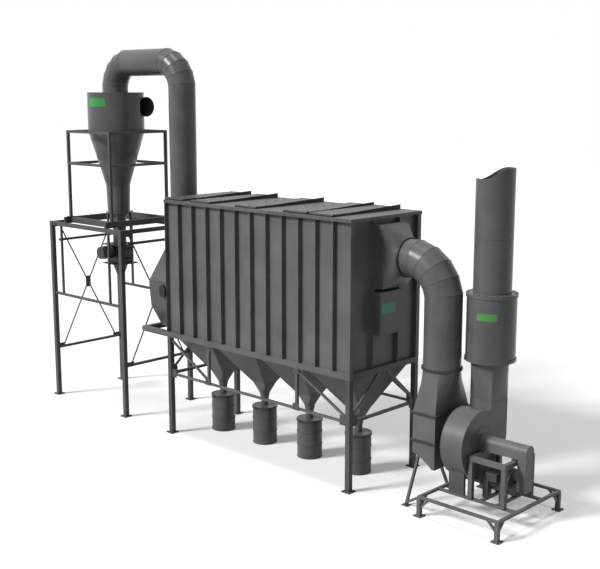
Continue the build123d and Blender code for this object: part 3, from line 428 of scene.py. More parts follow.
lugs = [
    box(
        (x + side, -drum_r - lug_out, drum_top - lug_low),
        (x + side + lug_thick, -drum_r + lug_in, drum_top - lug_high),
    )
    for x in hopper_x
    for side in lug_sides
]
blocks("clamp_lugs", lugs, clamp_paint, round_by=0.002)
lug_bolts = [
    ((x + lug_sides[1] + lug_thick, -drum_r - clamp_bolt_out, drum_top - clamp_bolt_down), (1, 0, 0))
    for x in hopper_x
]
bolts("clamp_bolts", lug_bolts, clamp_bolt)

# Frame under the body: square tube legs on foot plates, rails, struts and diagonals.
# Thin gusset plates are bolted over the joints, and each foot has its four anchors.
frame_paint = painted("frame_paint", (0.085, 0.086, 0.088, 1), 0.45, streak=0.15)
rail_paint = painted("rail_paint", (0.125, 0.126, 0.128, 1), 0.43, streak=0.15)
dress(("body_legs", "rails_cross"), frame_paint)
dress(("rails_long", "body_struts", "body_hangers", "body_braces"), rail_paint)


def inset(node, by):
    """The two places along X and along Y that lie in from the sides of a node's box."""
    low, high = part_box(node)
    return (low.x + by, high.x - by), (low.y + by, high.y - by)


foot_half, foot_thick, anchor_out = 0.11, 0.015, 0.083
leg_x, leg_y = inset("body_legs", foot_half)
struts_low, struts_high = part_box("body_struts")
strut_z = (struts_low.z + struts_high.z) / 2
leg_half, strut_half, end_half, hanger_half = 0.055, 0.025, 0.03, 0.03
plate_thick = 0.008
frame_bolt, anchor_nut = (0.012, 0.009), (0.014, 0.02)


def gusset(plates, spots, corner, way, out, face, reach, heights, bolts_along, bolts_up):
    """Adds a plate on a bar's outer face and its bolts, measured from a leg along a way."""
    corner, way, out = Vector((*corner, 0)), Vector((*way, 0)), Vector((*out, 0))
    start = corner + way * reach[0] + out * face
    end = corner + way * reach[1] + out * (face + plate_thick)
    low = (min(start.x, end.x), min(start.y, end.y), heights[0])
    high = (max(start.x, end.x), max(start.y, end.y), heights[1])
    plates.append(box(low, high))
    for along in bolts_along:
        at = corner + way * along + out * (face + plate_thick)
        spots += [((at.x, at.y, z), tuple(out)) for z in bolts_up]


gussets, gusset_spots = [], []
for x, inward in zip(leg_x, (1, -1)):
    for y, outward in zip(leg_y, (-1, 1)):
        gusset(
            gussets, gusset_spots, (x, y), (inward, 0), (0, outward), strut_half,
            reach=(leg_half, leg_half + 0.17), heights=(strut_z - 0.07, strut_z + 0.13),
            bolts_along=(leg_half + 0.045, leg_half + 0.13), bolts_up=(strut_z - 0.045, strut_z + 0.1),
        )
        gusset(
            gussets, gusset_spots, (x, y), (0, -outward), (-inward, 0), end_half,
            reach=(leg_half, leg_half + 0.16), heights=(strut_z - 0.09, strut_z + 0.14),
            bolts_along=(leg_half + 0.045, leg_half + 0.12), bolts_up=(strut_z - 0.06, strut_z + 0.11),
        )
for x in inset("body_hangers", hanger_half)[0]:
    for y, outward in zip(leg_y, (-1, 1)):
        for z0, z1 in ((strut_z - 0.03, strut_z + 0.12), (2.21, 2.33)):
            gusset(
                gussets, gusset_spots, (x, y), (1, 0), (0, outward), hanger_half,
                reach=(-0.09, 0.09), heights=(z0, z1), bolts_along=(-0.06, 0.06),
                bolts_up=((z0 + z1) / 2,),
            )
blocks("gusset_plates", gussets, frame_paint)
bolts("gusset_bolts", gusset_spots, frame_bolt)


def anchors(points, spread, thick):
    """Four nuts on each foot plate, at the corners of a square."""
    return [
        ((x + sx * spread, y + sy * spread, thick), (0, 0, 1))
        for x, y in points
        for sx in (-1, 1)
        for sy in (-1, 1)
    ]


leg_points = [(x, y) for x in leg_x for y in leg_y]
bolts("leg_anchors", anchors(leg_points, anchor_out, foot_thick), anchor_nut)

# Inlet chest: a welded sheet box between two tapers, under the duct from the cyclone.
# The blanked port on its near side is dark, with a bolted rim.
chest_paint = painted("chest_paint", (0.088, 0.089, 0.091, 1), 0.44)
dress(("chest_bottom", "chest_band", "chest_top"), chest_paint)
port_paint = painted("port_paint", (0.012, 0.012, 0.013, 1), 0.5, dust=0.1, streak=0.0)
dress(("chest_port",), port_paint)
chest_low, chest_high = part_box("chest_band")
around_chest = corners(chest_low.x, chest_low.y, chest_high.x, chest_high.y)
chest_welds = [[(x, y, z) for x, y in around_chest] for z in (chest_low.z, chest_high.z)]
for x in (chest_low.x, chest_high.x):
    for y in (chest_low.y, chest_high.y):
        chest_welds.append([(x, y, chest_low.z), (x, y, chest_high.z)])
pipes_low, pipes_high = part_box("crossover_pipes")
duct_r = pipes_high.y
duct_x, chest_top_z, can_out_by = pipes_high.x - duct_r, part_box("chest_top")[1].z, 0.002
chest_welds.append(hoop((duct_x, 0, chest_top_z), duct_r + can_out_by))
beads("chest_welds", chest_welds, weld_r, chest_paint)
port_low, port_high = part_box("chest_port")
port_x, port_z = (port_low.x + port_high.x) / 2, (port_low.z + port_high.z) / 2
port_bolt, port_count, port_ring_r, port_straight = (0.009, 0.007), 12, 0.078, 0.05
port_spots = []
for i in range(port_count):
    turn_by = 2 * math.pi * i / port_count
    side, up = math.sin(turn_by), math.cos(turn_by)
    z = port_z + port_ring_r * up + math.copysign(port_straight, up)
    port_spots.append(((port_x + port_ring_r * side, port_low.y, z), (0, -1, 0)))
bolts("port_bolts", port_spots, port_bolt)

# Crossover duct: rolled pipe with two mitred bends of five cuts each. Every joint is
# welded all round, and the two long straights have a lengthwise seam on the back.
duct_paint = painted(
    "duct_paint", (0.122, 0.123, 0.126, 1), 0.29, dust=0.25, streak=0.2, peel=0.04, level=0.25
)
dress(("crossover_pipes", "crossover_bends"), duct_paint)


def mitres(start, start_way, end_way, bend_radius, radius, cuts):
    """The welded joints of a mitred quarter bend, as closed lines."""
    start, start_way, end_way = Vector(start), Vector(start_way), Vector(end_way)
    centre = start + end_way * bend_radius
    step = math.pi / 2 / cuts
    stretch = 1 / math.cos(step / 2)
    side = start_way.cross(end_way)
    rings = []
    for i in range(cuts):
        angle = (i + 0.5) * step
        outward = start_way * math.sin(angle) - end_way * math.cos(angle)
        joint = centre + outward * bend_radius * stretch
        rings.append(hoop(joint, radius, outward.cross(side), outward, stretch))
    return rings


barrel_low, barrel_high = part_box("cyclone_barrel")
cyclone_x, crossover_z = pipes_low.x + duct_r, pipes_high.z - duct_r
bend_r, bend_cuts, riser_weld_z = 0.64, 5, 6.35
riser_top = crossover_z - bend_r
bead_out_by, edge_out_by, seam_out_by = 0.0015, 0.003, 0.001
weld_ring_r = duct_r + bead_out_by
duct_welds = mitres((cyclone_x, 0, riser_top), (0, 0, 1), (1, 0, 0), bend_r, weld_ring_r, bend_cuts)
duct_welds += mitres(
    (duct_x - bend_r, 0, crossover_z), (1, 0, 0), (0, 0, -1), bend_r, weld_ring_r, bend_cuts
)
duct_welds.append(hoop((cyclone_x, 0, barrel_high.z), duct_r + edge_out_by))
duct_welds.append(hoop((duct_x, 0, riser_weld_z), weld_ring_r))
back_y = duct_r + seam_out_by
duct_welds.append([
    (cyclone_x + bend_r, back_y, crossover_z), (duct_x - bend_r, back_y, crossover_z),
])
duct_welds.append([(duct_x, back_y, chest_top_z), (duct_x, back_y, riser_top)])
beads("crossover_welds", duct_welds, weld_r, duct_paint)

# Cyclone: rolled barrel with a side inlet, a two-stage cone, and a thin spout. The
# barrel is welded all round, and a blank green plate is riveted to its near side.
dress(("cyclone_barrel", "cyclone_cone", "spout_stays"), duct_paint)
barrel_r = barrel_high.x - cyclone_x
knee_r, cone_knee_z, top_weld_drop = 0.305, 5.628, 0.004
cyclone_welds = [
    hoop((cyclone_x, 0, barrel_low.z), barrel_r + can_out_by),
    hoop((cyclone_x, 0, barrel_high.z - top_weld_drop), barrel_r + can_out_by),
    hoop((cyclone_x, 0, cone_knee_z), knee_r + can_out_by),
    [(cyclone_x, barrel_r + seam_out_by, z) for z in (barrel_low.z, barrel_high.z)],
]
beads("cyclone_welds", cyclone_welds, weld_r, duct_paint)
inlet_mouth, inlet_r, inlet_rim_r = (-4.788, 0.461, 7.6), 0.241, 0.008
rim = [hoop(inlet_mouth, inlet_r, (1, 0, 0))]
beads("inlet_rim", rim, inlet_rim_r, duct_paint, step=0.04, ripple=0.0)


def curved_plate(name, centre, radius, patch, thick, paint):
    """A thin plate with rounded corners, wrapped on a standing cylinder over a patch."""
    from_deg, to_deg, z0, z1 = patch
    columns, rows, corner_cut = 16, 6, 0.06
    points, faces = [], []
    for layer in (radius, radius + thick):
        for i in range(columns + 1):
            for j in range(rows + 1):
                squeeze = corner_cut if i in (0, columns) else 0.0
                up = j / rows + (squeeze if j == 0 else -squeeze if j == rows else 0)
                turn = math.radians(from_deg + (to_deg - from_deg) * i / columns)
                x, y = centre[0] + layer * math.cos(turn), centre[1] + layer * math.sin(turn)
                points.append((x, y, z0 + (z1 - z0) * up))
    layer_size = (columns + 1) * (rows + 1)
    for i in range(columns):
        for j in range(rows):
            a = i * (rows + 1) + j
            b, c, d = a + rows + 1, a + rows + 2, a + 1
            faces.append((d, c, b, a))
            faces.append(tuple(layer_size + k for k in (a, b, c, d)))
    edge = [i * (rows + 1) for i in range(columns)]
    edge += [columns * (rows + 1) + j for j in range(rows)]
    edge += [layer_size - 1 - k for k in edge]
    for a, b in zip(edge, edge[1:] + edge[:1]):
        faces.append((a, b, layer_size + b, layer_size + a))
    mesh = bpy.data.meshes.new(name)
    mesh.from_pydata(points, [], faces)
    return piece(name, mesh, paint)


def riveted_sign(name, centre, radius, patch, paint, in_deg, in_z):
    """A blank plate wrapped on a can, with a rivet in each corner."""
    curved_plate(name, centre, radius, patch, sign_thick, paint)
    spots = []
    for turn in (math.radians(patch[0] + in_deg), math.radians(patch[1] - in_deg)):
        way = (math.cos(turn), math.sin(turn), 0)
        x, y = (middle + (radius + sign_thick) * part for middle, part in zip(centre, way))
        spots += [((x, y, z), way) for z in (patch[2] + in_z, patch[3] - in_z)]
    bolts(name + "_rivets", spots, sign_rivet)


def green(name, colour, roughness=0.4):
    """The paint of a blank plate."""
    return painted(name, colour, roughness, dust=0.2, streak=0.12, level=0.4)


sign_thick, sign_rivet = 0.004, (0.006, 0.004)
barrel_green = green("green_paint", (0.045, 0.33, 0.06, 1))
barrel_patch = (-101.0, -57.0, 7.61, 7.82)
riveted_sign("cyclone_plate", (cyclone_x, 0), barrel_r, barrel_patch, barrel_green, 1.5, 0.025)

# Rotary valve: a machined housing with bolted end covers, hung on four stays, with a
# finned gear motor at its near end and a short chute below.
machine_paint = painted(
    "machine_paint", (0.028, 0.028, 0.03, 1), 0.4, dust=0.12, streak=0.05, level=0.5
)
dress(("rotary_valve", "valve_motor", "valve_chute"), machine_paint)


def circle_spots(centre, radius, axis, count):
    """Spots on a circle, all facing along its axis."""
    return [(point, axis) for point in hoop(centre, radius, axis, count=count)[:-1]]


valve_low, valve_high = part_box("rotary_valve")
gear_low, gear_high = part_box("valve_motor")
valve_z, cover_bolt_r, cover_count = 3.86, 0.22, 12
flange_thick, flange_bolt_at, flange_side = 0.025, 0.285, (-0.26, 0.26, 6)
stay_ring_r, stay_count, valve_bolt = 0.305, 16, (0.01, 0.008)
valve_spots = []
for side in (-1, 1):
    cover = (cyclone_x, side * -gear_high.y, valve_z)
    valve_spots += circle_spots(cover, cover_bolt_r, (0, side, 0), cover_count)
for z, way in ((valve_high.z - flange_thick, -1), (valve_low.z + flange_thick, 1)):
    for at in row(*flange_side):
        for side in (-1, 1):
            valve_spots.append(((cyclone_x + at, side * flange_bolt_at, z), (0, 0, way)))
            valve_spots.append(((cyclone_x + side * flange_bolt_at, at, z), (0, 0, way)))
stay_top = (cyclone_x, 0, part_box("spout_stays")[1].z)
valve_spots += circle_spots(stay_top, stay_ring_r, (0, 0, -1), stay_count)
bolts("valve_bolts", valve_spots, valve_bolt)


def fins(middle, radius, axis, first, ends, count, deep, thick, lowest=-2.0):
    """The corners of cooling fins along a motor's can. Those below the lowest way are left out."""
    axis = Vector(axis)
    return [
        [
            Vector(middle) + axis * at + way * out + axis.cross(way) * side
            for at in ends
            for out in (radius - fin_sunk, radius + deep)
            for side in (-thick / 2, thick / 2)
        ]
        for way in hoop((0, 0, 0), 1, axis, first, count=count)[:-1]
        if way.z > lowest
    ]


gear_z, gear_r, cowl_r, fin_sunk = (gear_low.z + gear_high.z) / 2, 0.15, 0.007, 0.004
valve_fins = fins(
    (cyclone_x, 0, gear_z), gear_r, (0, 1, 0), (1, 0, 0), (gear_low.y + 0.09, gear_high.y - 0.05),
    count=30, deep=0.014, thick=0.005,
)
blocks("valve_motor_fins", valve_fins, machine_paint)
cowl_at = (0.008, 0.08)
cowl = [
    hoop((cyclone_x, gear_low.y + at, gear_z), gear_r + can_out_by, (0, 1, 0)) for at in cowl_at
]
beads("valve_motor_cowl", cowl, cowl_r, machine_paint, step=0.04, ripple=0.0)
gear_end = Vector((cyclone_x, gear_low.y, gear_z))
gear_box = box(gear_end + Vector((0.1, 0.14, 0.06)), gear_end + Vector((0.2, 0.28, 0.16)))
blocks("valve_motor_terminals", [gear_box], machine_paint, round_by=0.006)

# Tower and cradle: square tube legs on foot plates carry a platform of beams, with thin
# cross rods through a plate on both ends. The cradle's posts stand on a second frame.
dress(
    (
        "tower_legs", "tower_beams", "tower_hangers", "tower_rods", "tower_rod_plates",
        "platform_cross_beams", "platform_inner_beams", "cradle_posts", "cradle_bars",
        "cradle_brackets",
    ),
    frame_paint,
)
tower_x, tower_y = inset("tower_legs", foot_half)
tower_points = [(x, y) for x in tower_x for y in tower_y]
tower_feet = anchors(tower_points, anchor_out, foot_thick)
bolts("tower_anchors", tower_feet, anchor_nut)
tower_half, beam_half = 0.0525, 0.03
beams_low, beams_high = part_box("tower_beams")
platform_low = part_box("tower_hangers")[1].z
side_heights = (platform_low, beams_high.z), (2.742, 2.802)
end_heights = (platform_low - 0.06, beams_high.z), (beams_low.z, beams_low.z + 0.12)
tower_plates, tower_spots = [], []
for x, inward in zip(tower_x, (1, -1)):
    for y, outward in zip(tower_y, (-1, 1)):
        for way, out, reach, heights, bolts_along in (
            ((inward, 0), (0, outward), (tower_half, 0.19), side_heights, (0.085, 0.155)),
            ((0, -outward), (-inward, 0), (tower_half, 0.26), end_heights, (0.09, 0.21)),
        ):
            for z0, z1 in heights:
                gusset(
                    tower_plates, tower_spots, (x, y), way, out, beam_half, reach, (z0, z1),
                    bolts_along, ((z0 + z1) / 2,),
                )
blocks("tower_plates", tower_plates, frame_paint)
rods_cross_z, rod_plate_half, rod_bolt_y, rod_bolt_z = 2.935, 0.005, 0.045, 0.1
for x, outward in zip(tower_x, (-1, 1)):
    for y in (-rod_bolt_y, rod_bolt_y):
        for z in (rods_cross_z - rod_bolt_z, rods_cross_z + rod_bolt_z):
            tower_spots.append(((x + outward * rod_plate_half, y, z), (outward, 0, 0)))
bolts("tower_bolts", tower_spots, frame_bolt)
posts_low, posts_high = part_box("cradle_posts")
post_half, cradle_foot, cradle_foot_thick = 0.0325, 0.08, 0.01
cradle_bolt_out, cradle_bolt = 0.058, (0.009, 0.009)
cradle_half = posts_high.y - post_half
cradle_points = [
    (cyclone_x + sx * cradle_half, sy * cradle_half) for sx in (-1, 1) for sy in (-1, 1)
]
cradle_top = posts_low.z + cradle_foot_thick
cradle_feet = [
    box((x - cradle_foot, y - cradle_foot, posts_low.z), (x + cradle_foot, y + cradle_foot, cradle_top))
    for x, y in cradle_points
]
blocks("cradle_feet", cradle_feet, frame_paint)
cradle_spots = anchors(cradle_points, cradle_bolt_out, cradle_top)
bolts("cradle_bolts", cradle_spots, cradle_bolt)

# Outlet duct: a collar through the end wall, a square-to-round piece, a mitred elbow
# and the drop pipe. Flat flanges join the lengths with close-set bolts; they are painted
# near black, as painted shade between the lengths.
dress(
    ("outlet_collar", "outlet_transition", "outlet_elbow", "drop_pipe", "fan_inlet_transition"),
    duct_paint,
)
collar_low, collar_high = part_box("outlet_collar")
drop_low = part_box("drop_pipe")[0]
outlet_z, outlet_r, elbow_x, outlet_bend = (collar_low.z + collar_high.z) / 2, 0.373, 4.12, 0.757
round_x, flange_deep, drop_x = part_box("outlet_transition")[1].x, 0.04, elbow_x + outlet_bend
outlet_welds = mitres(
    (elbow_x, 0, outlet_z), (1, 0, 0), (0, 0, -1), outlet_bend, outlet_r + bead_out_by, bend_cuts
)
around_collar = corners(collar_low.y, collar_low.z, collar_high.y, collar_high.z)
outlet_welds.append([(collar_high.x, y, z) for y, z in around_collar])
outlet_welds.append([
    (drop_x, outlet_r + seam_out_by, z) for z in (drop_low.z + flange_deep, outlet_z - outlet_bend)
])
beads("outlet_welds", outlet_welds, weld_r, duct_paint)


def dress_where(name, paint, chosen):
    """Gives a second finish to the faces of a CAD node whose middle is chosen."""
    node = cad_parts[name]
    node.data.materials.append(paint)
    for face in node.data.polygons:
        if chosen(node.matrix_world @ face.center):
            face.material_index = len(node.data.materials) - 1


# Near-black paint for the flanges: painted shade, far darker than the duct's own grey.
flange_shade_paint = painted("flange_shade_paint", (0.04, 0.04, 0.041, 1), 0.45, dust=0.3, streak=0.1)
flange_from_r, near_by = outlet_r + 0.002, 0.001
dress_where(
    "outlet_elbow", flange_shade_paint,
    lambda at: at.x < round_x + flange_deep + near_by
    and math.hypot(at.y, at.z - outlet_z) > flange_from_r,
)
dress_where(
    "drop_pipe", flange_shade_paint,
    lambda at: at.z < drop_low.z + flange_deep + near_by
    and math.hypot(at.x - drop_x, at.y) > flange_from_r,
)
flange_ring_r, flange_count, flange_bolt = outlet_r + 0.017, 24, (0.009, 0.009)
flange_spots = []
for x, way in ((round_x, -1), (round_x + flange_deep, 1)):
    flange_spots += circle_spots((x, 0, outlet_z), flange_ring_r, (way, 0, 0), flange_count)
for z, way in ((drop_low.z + flange_deep, 1), (drop_low.z, -1)):
    flange_spots += circle_spots((drop_x, 0, z), flange_ring_r, (0, 0, way), flange_count)
bolts("outlet_flange_bolts", flange_spots, flange_bolt)

# Cabinet on the outlet end: a folded steel box with a plain front, screwed around its
# edge. It carries a blank green plate.
cabinet_paint = painted("cabinet_paint", (0.12, 0.121, 0.125, 1), 0.4, dust=0.3, streak=0.25)
dress(("wall_cabinet",), cabinet_paint)
cabinet_low, cabinet_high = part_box("wall_cabinet")
front_thick, front_in, screw = 0.006, 0.02, (0.006, 0.004)
screw_in, screw_end, screw_count = 0.04, 0.05, 5
front_x = cabinet_high.x + front_thick
front = box(
    (cabinet_high.x, cabinet_low.y + front_in, cabinet_low.z + front_in),
    (front_x, cabinet_high.y - front_in, cabinet_high.z - front_in),
)
blocks("cabinet_front", [front], cabinet_paint, round_by=0.002)
screw_spots = [
    ((front_x, y, z), (1, 0, 0))
    for y in (cabinet_low.y + screw_in, cabinet_high.y - screw_in)
    for z in row(cabinet_low.z + screw_end, cabinet_high.z - screw_end, screw_count)
]
bolts("cabinet_screws", screw_spots, screw)
cabinet_green = green("cabinet_green", (0.02, 0.27, 0.14, 1))
sign_low, sign_high, small_rivet, rivet_in = (-0.34, 3.58), (0.1, 3.8), (0.005, 0.003), 0.02
sign_x = front_x + sign_thick
sign = box((front_x, *sign_low), (sign_x, *sign_high))
blocks("cabinet_plate", [sign], cabinet_green)
rivet_spots = [
    ((sign_x, y, z), (1, 0, 0))
    for y in (sign_low[0] + rivet_in, sign_high[0] - rivet_in)
    for z in (sign_low[1] + rivet_in, sign_high[1] - rivet_in)
]
bolts("cabinet_plate_rivets", rivet_spots, small_rivet)

# Fan inlet box: folded sheet with two flat flanges around it, on two splayed legs.
# Its lower left corner is cut away in a curve, and both flanges have rows of bolts.
dress(("fan_inlet_box",), body_paint)
dress(("fan_inlet_legs", "fan_inlet_tie"), frame_paint)
rims_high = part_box("fan_inlet_box")[1]
box_half_x, rim_wide, rim_thick, rim_bolt = 0.268, 0.038, 0.035, (0.009, 0.008)
box_half_y, rim_from, lower_rim_z = rims_high.y - rim_wide, 0.002, 1.295
rim_count_x, rim_count_y, rim_bolt_end = 5, 9, 0.06
# The flanges around the box take the same near-black paint, as painted shade.
dress_where(
    "fan_inlet_box", flange_shade_paint,
    lambda at: abs(at.x - drop_x) > box_half_x + rim_from or abs(at.y) > box_half_y + rim_from,
)
bolt_x, bolt_y = box_half_x + rim_wide / 2, box_half_y + rim_wide / 2
box_spots = []
for top in (rims_high.z, lower_rim_z):
    for z, way in ((top - rim_thick, -1), (top, 1)):
        for x in row(drop_x - box_half_x, drop_x + box_half_x, rim_count_x):
            box_spots += [((x, y, z), (0, 0, way)) for y in (-bolt_y, bolt_y)]
        for y in row(rim_bolt_end - box_half_y, box_half_y - rim_bolt_end, rim_count_y):
            box_spots += [((x, y, z), (0, 0, way)) for x in (drop_x - bolt_x, drop_x + bolt_x)]
bolts("inlet_box_bolts", box_spots, rim_bolt)

# Fan casing: a scroll of growing radius between two flat cheeks that turns up into a
# throat, with a square-to-round piece on it. Its edges are welded outside.
dress(("fan_scroll", "fan_discharge"), body_paint)
dress(("scroll_feet",), frame_paint)
casing_low, casing_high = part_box("fan_scroll")
shaft_z, scroll_low, scroll_near, scroll_top = 1.37, 0.725, 0.68, 0.62
scroll_far, throat_y0, throat_z = casing_high.y, 0.27, casing_high.z


def arc3(a, b, c, count):
    """Points on the circle through three points of the Y-Z plane."""
    (ay, az), (by, bz), (cy, cz) = a, b, c
    aa, bb, cc = ay**2 + az**2, by**2 + bz**2, cy**2 + cz**2
    twice = 2 * (ay * (bz - cz) + by * (cz - az) + cy * (az - bz))
    uy = (aa * (bz - cz) + bb * (cz - az) + cc * (az - bz)) / twice
    uz = (aa * (cy - by) + bb * (ay - cy) + cc * (by - ay)) / twice
    radius = math.hypot(ay - uy, az - uz)
    first, middle, last = (math.atan2(z - uz, y - uy) for y, z in (a, b, c))
    sweep = (last - first) % (2 * math.pi)
    if (middle - first) % (2 * math.pi) > sweep:
        sweep -= 2 * math.pi
    turns = [first + sweep * i / count for i in range(count + 1)]
    return [(uy + radius * math.cos(turn), uz + radius * math.sin(turn)) for turn in turns]


diag, arc_steps, cover_bolts = math.sqrt(0.5), 12, 16
scroll_line = [(scroll_far, throat_z)]
for (r_a, a_way), (r_b, b_way) in (
    ((scroll_far, (1, 0)), (scroll_low, (0, -1))),
    ((scroll_low, (0, -1)), (scroll_near, (-1, 0))),
    ((scroll_near, (-1, 0)), (scroll_top, (0, 1))),
):
    middle = (r_a + r_b) / 2 * diag
    m_way = (a_way[0] + b_way[0], a_way[1] + b_way[1])
    scroll_line += arc3(
        (r_a * a_way[0], shaft_z + r_a * a_way[1]), (middle * m_way[0], shaft_z + middle * m_way[1]),
        (r_b * b_way[0], shaft_z + r_b * b_way[1]), arc_steps,
    )
tongue_z = shaft_z + math.sqrt(scroll_top**2 - throat_y0**2)
scroll_line += [(throat_y0, tongue_z), (throat_y0, throat_z)]
scroll_welds = [[(x, y, z) for y, z in scroll_line] for x in (casing_low.x, casing_high.x)]
throat = corners(casing_low.x, throat_y0, casing_high.x, scroll_far)
scroll_welds.append([(x, y, throat_z) for x, y in throat])
scroll_weld_r, cover_r, cover_thick, cover_ring_r = 0.006, 0.32, 0.008, 0.285
beads("scroll_welds", scroll_welds, scroll_weld_r, body_paint)
cover_at = (casing_high.x + cover_thick, 0, shaft_z)
cover_spots = circle_spots(cover_at, cover_ring_r, (1, 0, 0), cover_bolts)
bolts("casing_bolts", cover_spots, rim_bolt)


def disc(name, centre, radius, thick, axis, paint, sides=48):
    """A flat round plate, from its back face along its axis."""
    back = hoop(centre, radius, axis, count=sides)[:-1]
    lift_by = Vector(axis) * thick
    points = [tuple(point) for point in back] + [tuple(point + lift_by) for point in back]
    faces = [tuple(range(sides - 1, -1, -1)), tuple(range(sides, 2 * sides))]
    faces += [(i, (i + 1) % sides, sides + (i + 1) % sides, sides + i) for i in range(sides)]
    mesh = bpy.data.meshes.new(name)
    mesh.from_pydata(points, [], faces)
    return piece(name, mesh, paint)


disc(
    "casing_cover", (casing_high.x, 0, shaft_z), cover_r, cover_thick, (1, 0, 0), body_paint,
)

# Silencer and stack: a wide rolled can with bolted caps, and the stack rising from it,
# cut off in an S at the top as in the picture. A blank green plate is riveted on.
dress(("silencer", "stack"), duct_paint)
can_low, can_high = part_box("silencer")
stack_low, stack_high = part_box("stack")
stack_at = ((can_low.x + can_high.x) / 2, (can_low.y + can_high.y) / 2)
cap_deep, cap_out, cap_bolt_in, cap_count, cap_bolt = 0.065, 0.018, 0.02, 24, (0.01, 0.009)
silencer_r, stack_r = (can_high.x - can_low.x) / 2 - cap_out, (stack_high.x - stack_low.x) / 2
stack_weld_z, stack_seam_top = 5.25, 6.3


def back_seam(radius, low, high):
    """A straight weld up the far side of the stack or the silencer."""
    return [(stack_at[0], stack_at[1] + radius + seam_out_by, z) for z in (low, high)]


stack_welds = [
    hoop((*stack_at, stack_weld_z), stack_r + bead_out_by),
    hoop((*stack_at, can_high.z), stack_r + edge_out_by),
    back_seam(stack_r, can_high.z, stack_seam_top),
    back_seam(silencer_r, can_low.z + cap_deep, can_high.z - cap_deep),
]
beads("stack_welds", stack_welds, weld_r, duct_paint)
cap_spots = []
for z, way in ((can_low.z, -1), (can_high.z, 1)):
    cap_spots += circle_spots((*stack_at, z), silencer_r - cap_bolt_in, (0, 0, way), cap_count)
bolts("silencer_bolts", cap_spots, cap_bolt)
silencer_green = green("silencer_green", (0.09, 0.32, 0.085, 1), 0.42)
silencer_patch = (-91.0, -43.0, 3.71, 3.85)
riveted_sign("silencer_plate", stack_at, silencer_r, silencer_patch, silencer_green, 2, rivet_in)

# Fan base and stand: a ladder frame on four short legs with knee braces, and a welded
# stand over the motor for the two bearings.
dress(
    ("base_long_beams", "base_cross_beams", "base_legs", "stand_posts", "stand_top"), rail_paint
)
base_foot_half, base_anchor_out, base_nut = 0.09, 0.065, (0.012, 0.018)
base_x, base_y = inset("base_legs", base_foot_half)
base_points = [(x, y) for x in base_x for y in base_y]
base_feet = anchors(base_points, base_anchor_out, foot_thick)
bolts("base_anchors", base_feet, base_nut)
stand_low, stand_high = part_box("stand_posts")
stand_half = 0.045
stand_x, stand_y = inset("stand_posts", stand_half)
stand_welds = []
for x in stand_x:
    for y in stand_y:
        around_post = corners(x - stand_half, y - stand_half, x + stand_half, y + stand_half)
        stand_welds += [[(*corner, z) for corner in around_post] for z in (stand_low.z, stand_high.z)]
beads("stand_welds", stand_welds, weld_r, rail_paint)

# Drive: the shaft runs in two split bearing blocks under a bent guard, and belts behind
# a tall guard join it to the motor below. The motor has fins, a cowl and a terminal box.
dress(("shaft_and_bearings", "fan_motor"), machine_paint)
dress(("shaft_guard", "belt_guard"), body_paint)
bearing_bolt, bearing_bolt_x, bearing_bolt_y, bearing_foot_z = (0.012, 0.014), 0.03, 0.125, 1.255
bearing_spots = [
    ((x + side * bearing_bolt_x, y, bearing_foot_z), (0, 0, 1))
    for x in stand_x
    for y in (-bearing_bolt_y, bearing_bolt_y)
    for side in (-1, 1)
]
bolts("bearing_bolts", bearing_spots, bearing_bolt)
motor_x, motor_r, motor_z, motor_ring_r = (6.021, 6.621), 0.24, 0.76, 0.01
motor_fins = fins(
    (0, 0, motor_z), motor_r, (1, 0, 0), (0, 1, 0), (motor_x[0] + 0.13, motor_x[1] - 0.07),
    count=40, deep=0.02, thick=0.006, lowest=-0.35,
)
blocks("fan_motor_fins", motor_fins, machine_paint)
motor_rings = [
    hoop((x, 0, motor_z), motor_r + 0.004, (1, 0, 0))
    for x in (motor_x[0] + 0.01, motor_x[0] + 0.12, motor_x[1] - 0.06, motor_x[1] - 0.01)
]
beads("fan_motor_rings", motor_rings, motor_ring_r, machine_paint, step=0.04, ripple=0.0)
motor_box = box((6.2, -0.33, 0.78), (6.42, -0.2, 0.94))
blocks("fan_motor_terminals", [motor_box], machine_paint, round_by=0.008)
belt_low, belt_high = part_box("belt_guard")
guard_r, guard_z, guard_steps, guard_bolt = 0.126, 1.411, 16, (0.008, 0.007)
guard_bolt_y, guard_bolt_z = 0.108, (0.72, 0.95, 1.18, 1.4)
belt_spots = [
    ((belt_high.x, side * guard_bolt_y, z), (1, 0, 0)) for z in guard_bolt_z for side in (-1, 1)
]
bolts("belt_guard_bolts", belt_spots, guard_bolt)
guard_turns = [math.pi * i / guard_steps for i in range(guard_steps + 1)]
guard_line = [(-guard_r, belt_low.z)]
guard_line += [
    (-guard_r * math.cos(turn), guard_z + guard_r * math.sin(turn)) for turn in guard_turns
]
guard_line.append((guard_r, belt_low.z))
guard_rims = [[(x, y, z) for y, z in guard_line] for x in (belt_high.x, belt_low.x)]
beads("belt_guard_rims", guard_rims, weld_r, body_paint, ripple=0.0)

# The floor, the lights and the camera aren't part of the plant. The floor is pale and
# plain, and the sky is white for the eye and for gloss, and dim as a light.
floor_half = 90
floor_mesh = bpy.data.meshes.new("floor")
floor_points = [(*corner, 0) for corner in corners(-floor_half, -floor_half, floor_half, floor_half)[:4]]
floor_mesh.from_pydata(floor_points, [], [(0, 1, 2, 3)])
floor = bpy.data.objects.new("floor", floor_mesh)
bpy.context.scene.collection.objects.link(floor)
floor_paint = bpy.data.materials.new("floor_paint")
floor_paint.use_nodes = True
floor_skin = floor_paint.node_tree.nodes["Principled BSDF"]
pen = Shade(floor_paint.node_tree)
eye, gloss = (pen.node("ShaderNodeLightPath", out=ray) for ray in ("Is Camera Ray", "Is Glossy Ray"))
seen = pen.math("MAXIMUM", eye, gloss)
tone = seen.blend((0.3, 0.3, 0.3, 1), (0.95, 0.95, 0.95, 1))
floor_glow = 0.17
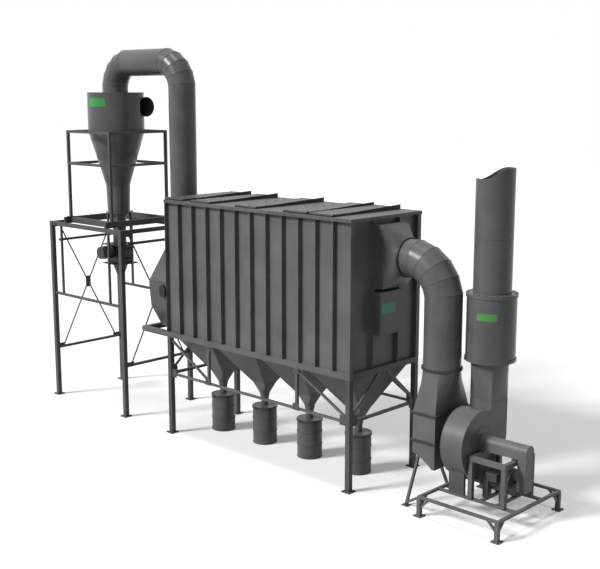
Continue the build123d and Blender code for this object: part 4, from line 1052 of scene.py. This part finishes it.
for socket, shade in (("Base Color", tone), ("Emission Strength", seen * floor_glow)):
    floor_paint.node_tree.links.new(shade.socket, floor_skin.inputs[socket])
floor_skin.inputs["Emission Color"].default_value = (1, 1, 1, 1)
floor_skin.inputs["Roughness"].default_value = 0.9
floor_skin.inputs["Specular IOR Level"].default_value = 0.1
floor_mesh.materials.append(floor_paint)
for name, energy, angle, way in (
    ("key", 2.95, 14, (-0.38, -0.78, 0.62)),
    ("top", 0.7, 10, (-0.07, -0.05, 1.0)),
):
    lamp_data = bpy.data.lights.new(name, "SUN")
    lamp_data.energy = energy
    lamp_data.angle = math.radians(angle)
    lamp = bpy.data.objects.new(name, lamp_data)
    lamp.rotation_euler = Vector(way).to_track_quat("Z", "Y").to_euler()
    bpy.context.scene.collection.objects.link(lamp)
sky = bpy.data.worlds.new("sky")
bpy.context.scene.world = sky
sky.use_nodes = True
backdrop = sky.node_tree.nodes["Background"]
pen = Shade(sky.node_tree)
seen_by = [
    pen.node("ShaderNodeLightPath", out=ray)
    for ray in ("Is Camera Ray", "Is Glossy Ray", "Is Transmission Ray")
]
white_share = pen.math("MINIMUM", seen_by[0] + seen_by[1] + seen_by[2], 1.0)
dim_sky = 0.26
strength = white_share * (1 - dim_sky) + dim_sky
sky.node_tree.links.new(strength.socket, backdrop.inputs["Strength"])
backdrop.inputs["Color"].default_value = (1, 1, 1, 1)
picture_wide, focal_length, sensor = 600, 1058.4, 36
camera_way, camera_scale = (9.012, -7.308, 3.779), 2.1
camera_dip, camera_turn = math.radians(10.24), math.radians(43.82)
camera_data = bpy.data.cameras.new("photo_camera")
camera_data.sensor_width = sensor
camera_data.lens = focal_length / picture_wide * sensor
camera_data.clip_end = 500
camera = bpy.data.objects.new("photo_camera", camera_data)
near_leg = Vector((leg_x[0], leg_y[0], 0))
camera.location = Vector(camera_way) * camera_scale + near_leg
camera.rotation_euler = (math.radians(90) - camera_dip, 0, camera_turn)
bpy.context.scene.collection.objects.link(camera)
bpy.context.scene.camera = camera
bpy.context.scene.view_settings.view_transform = "Standard"
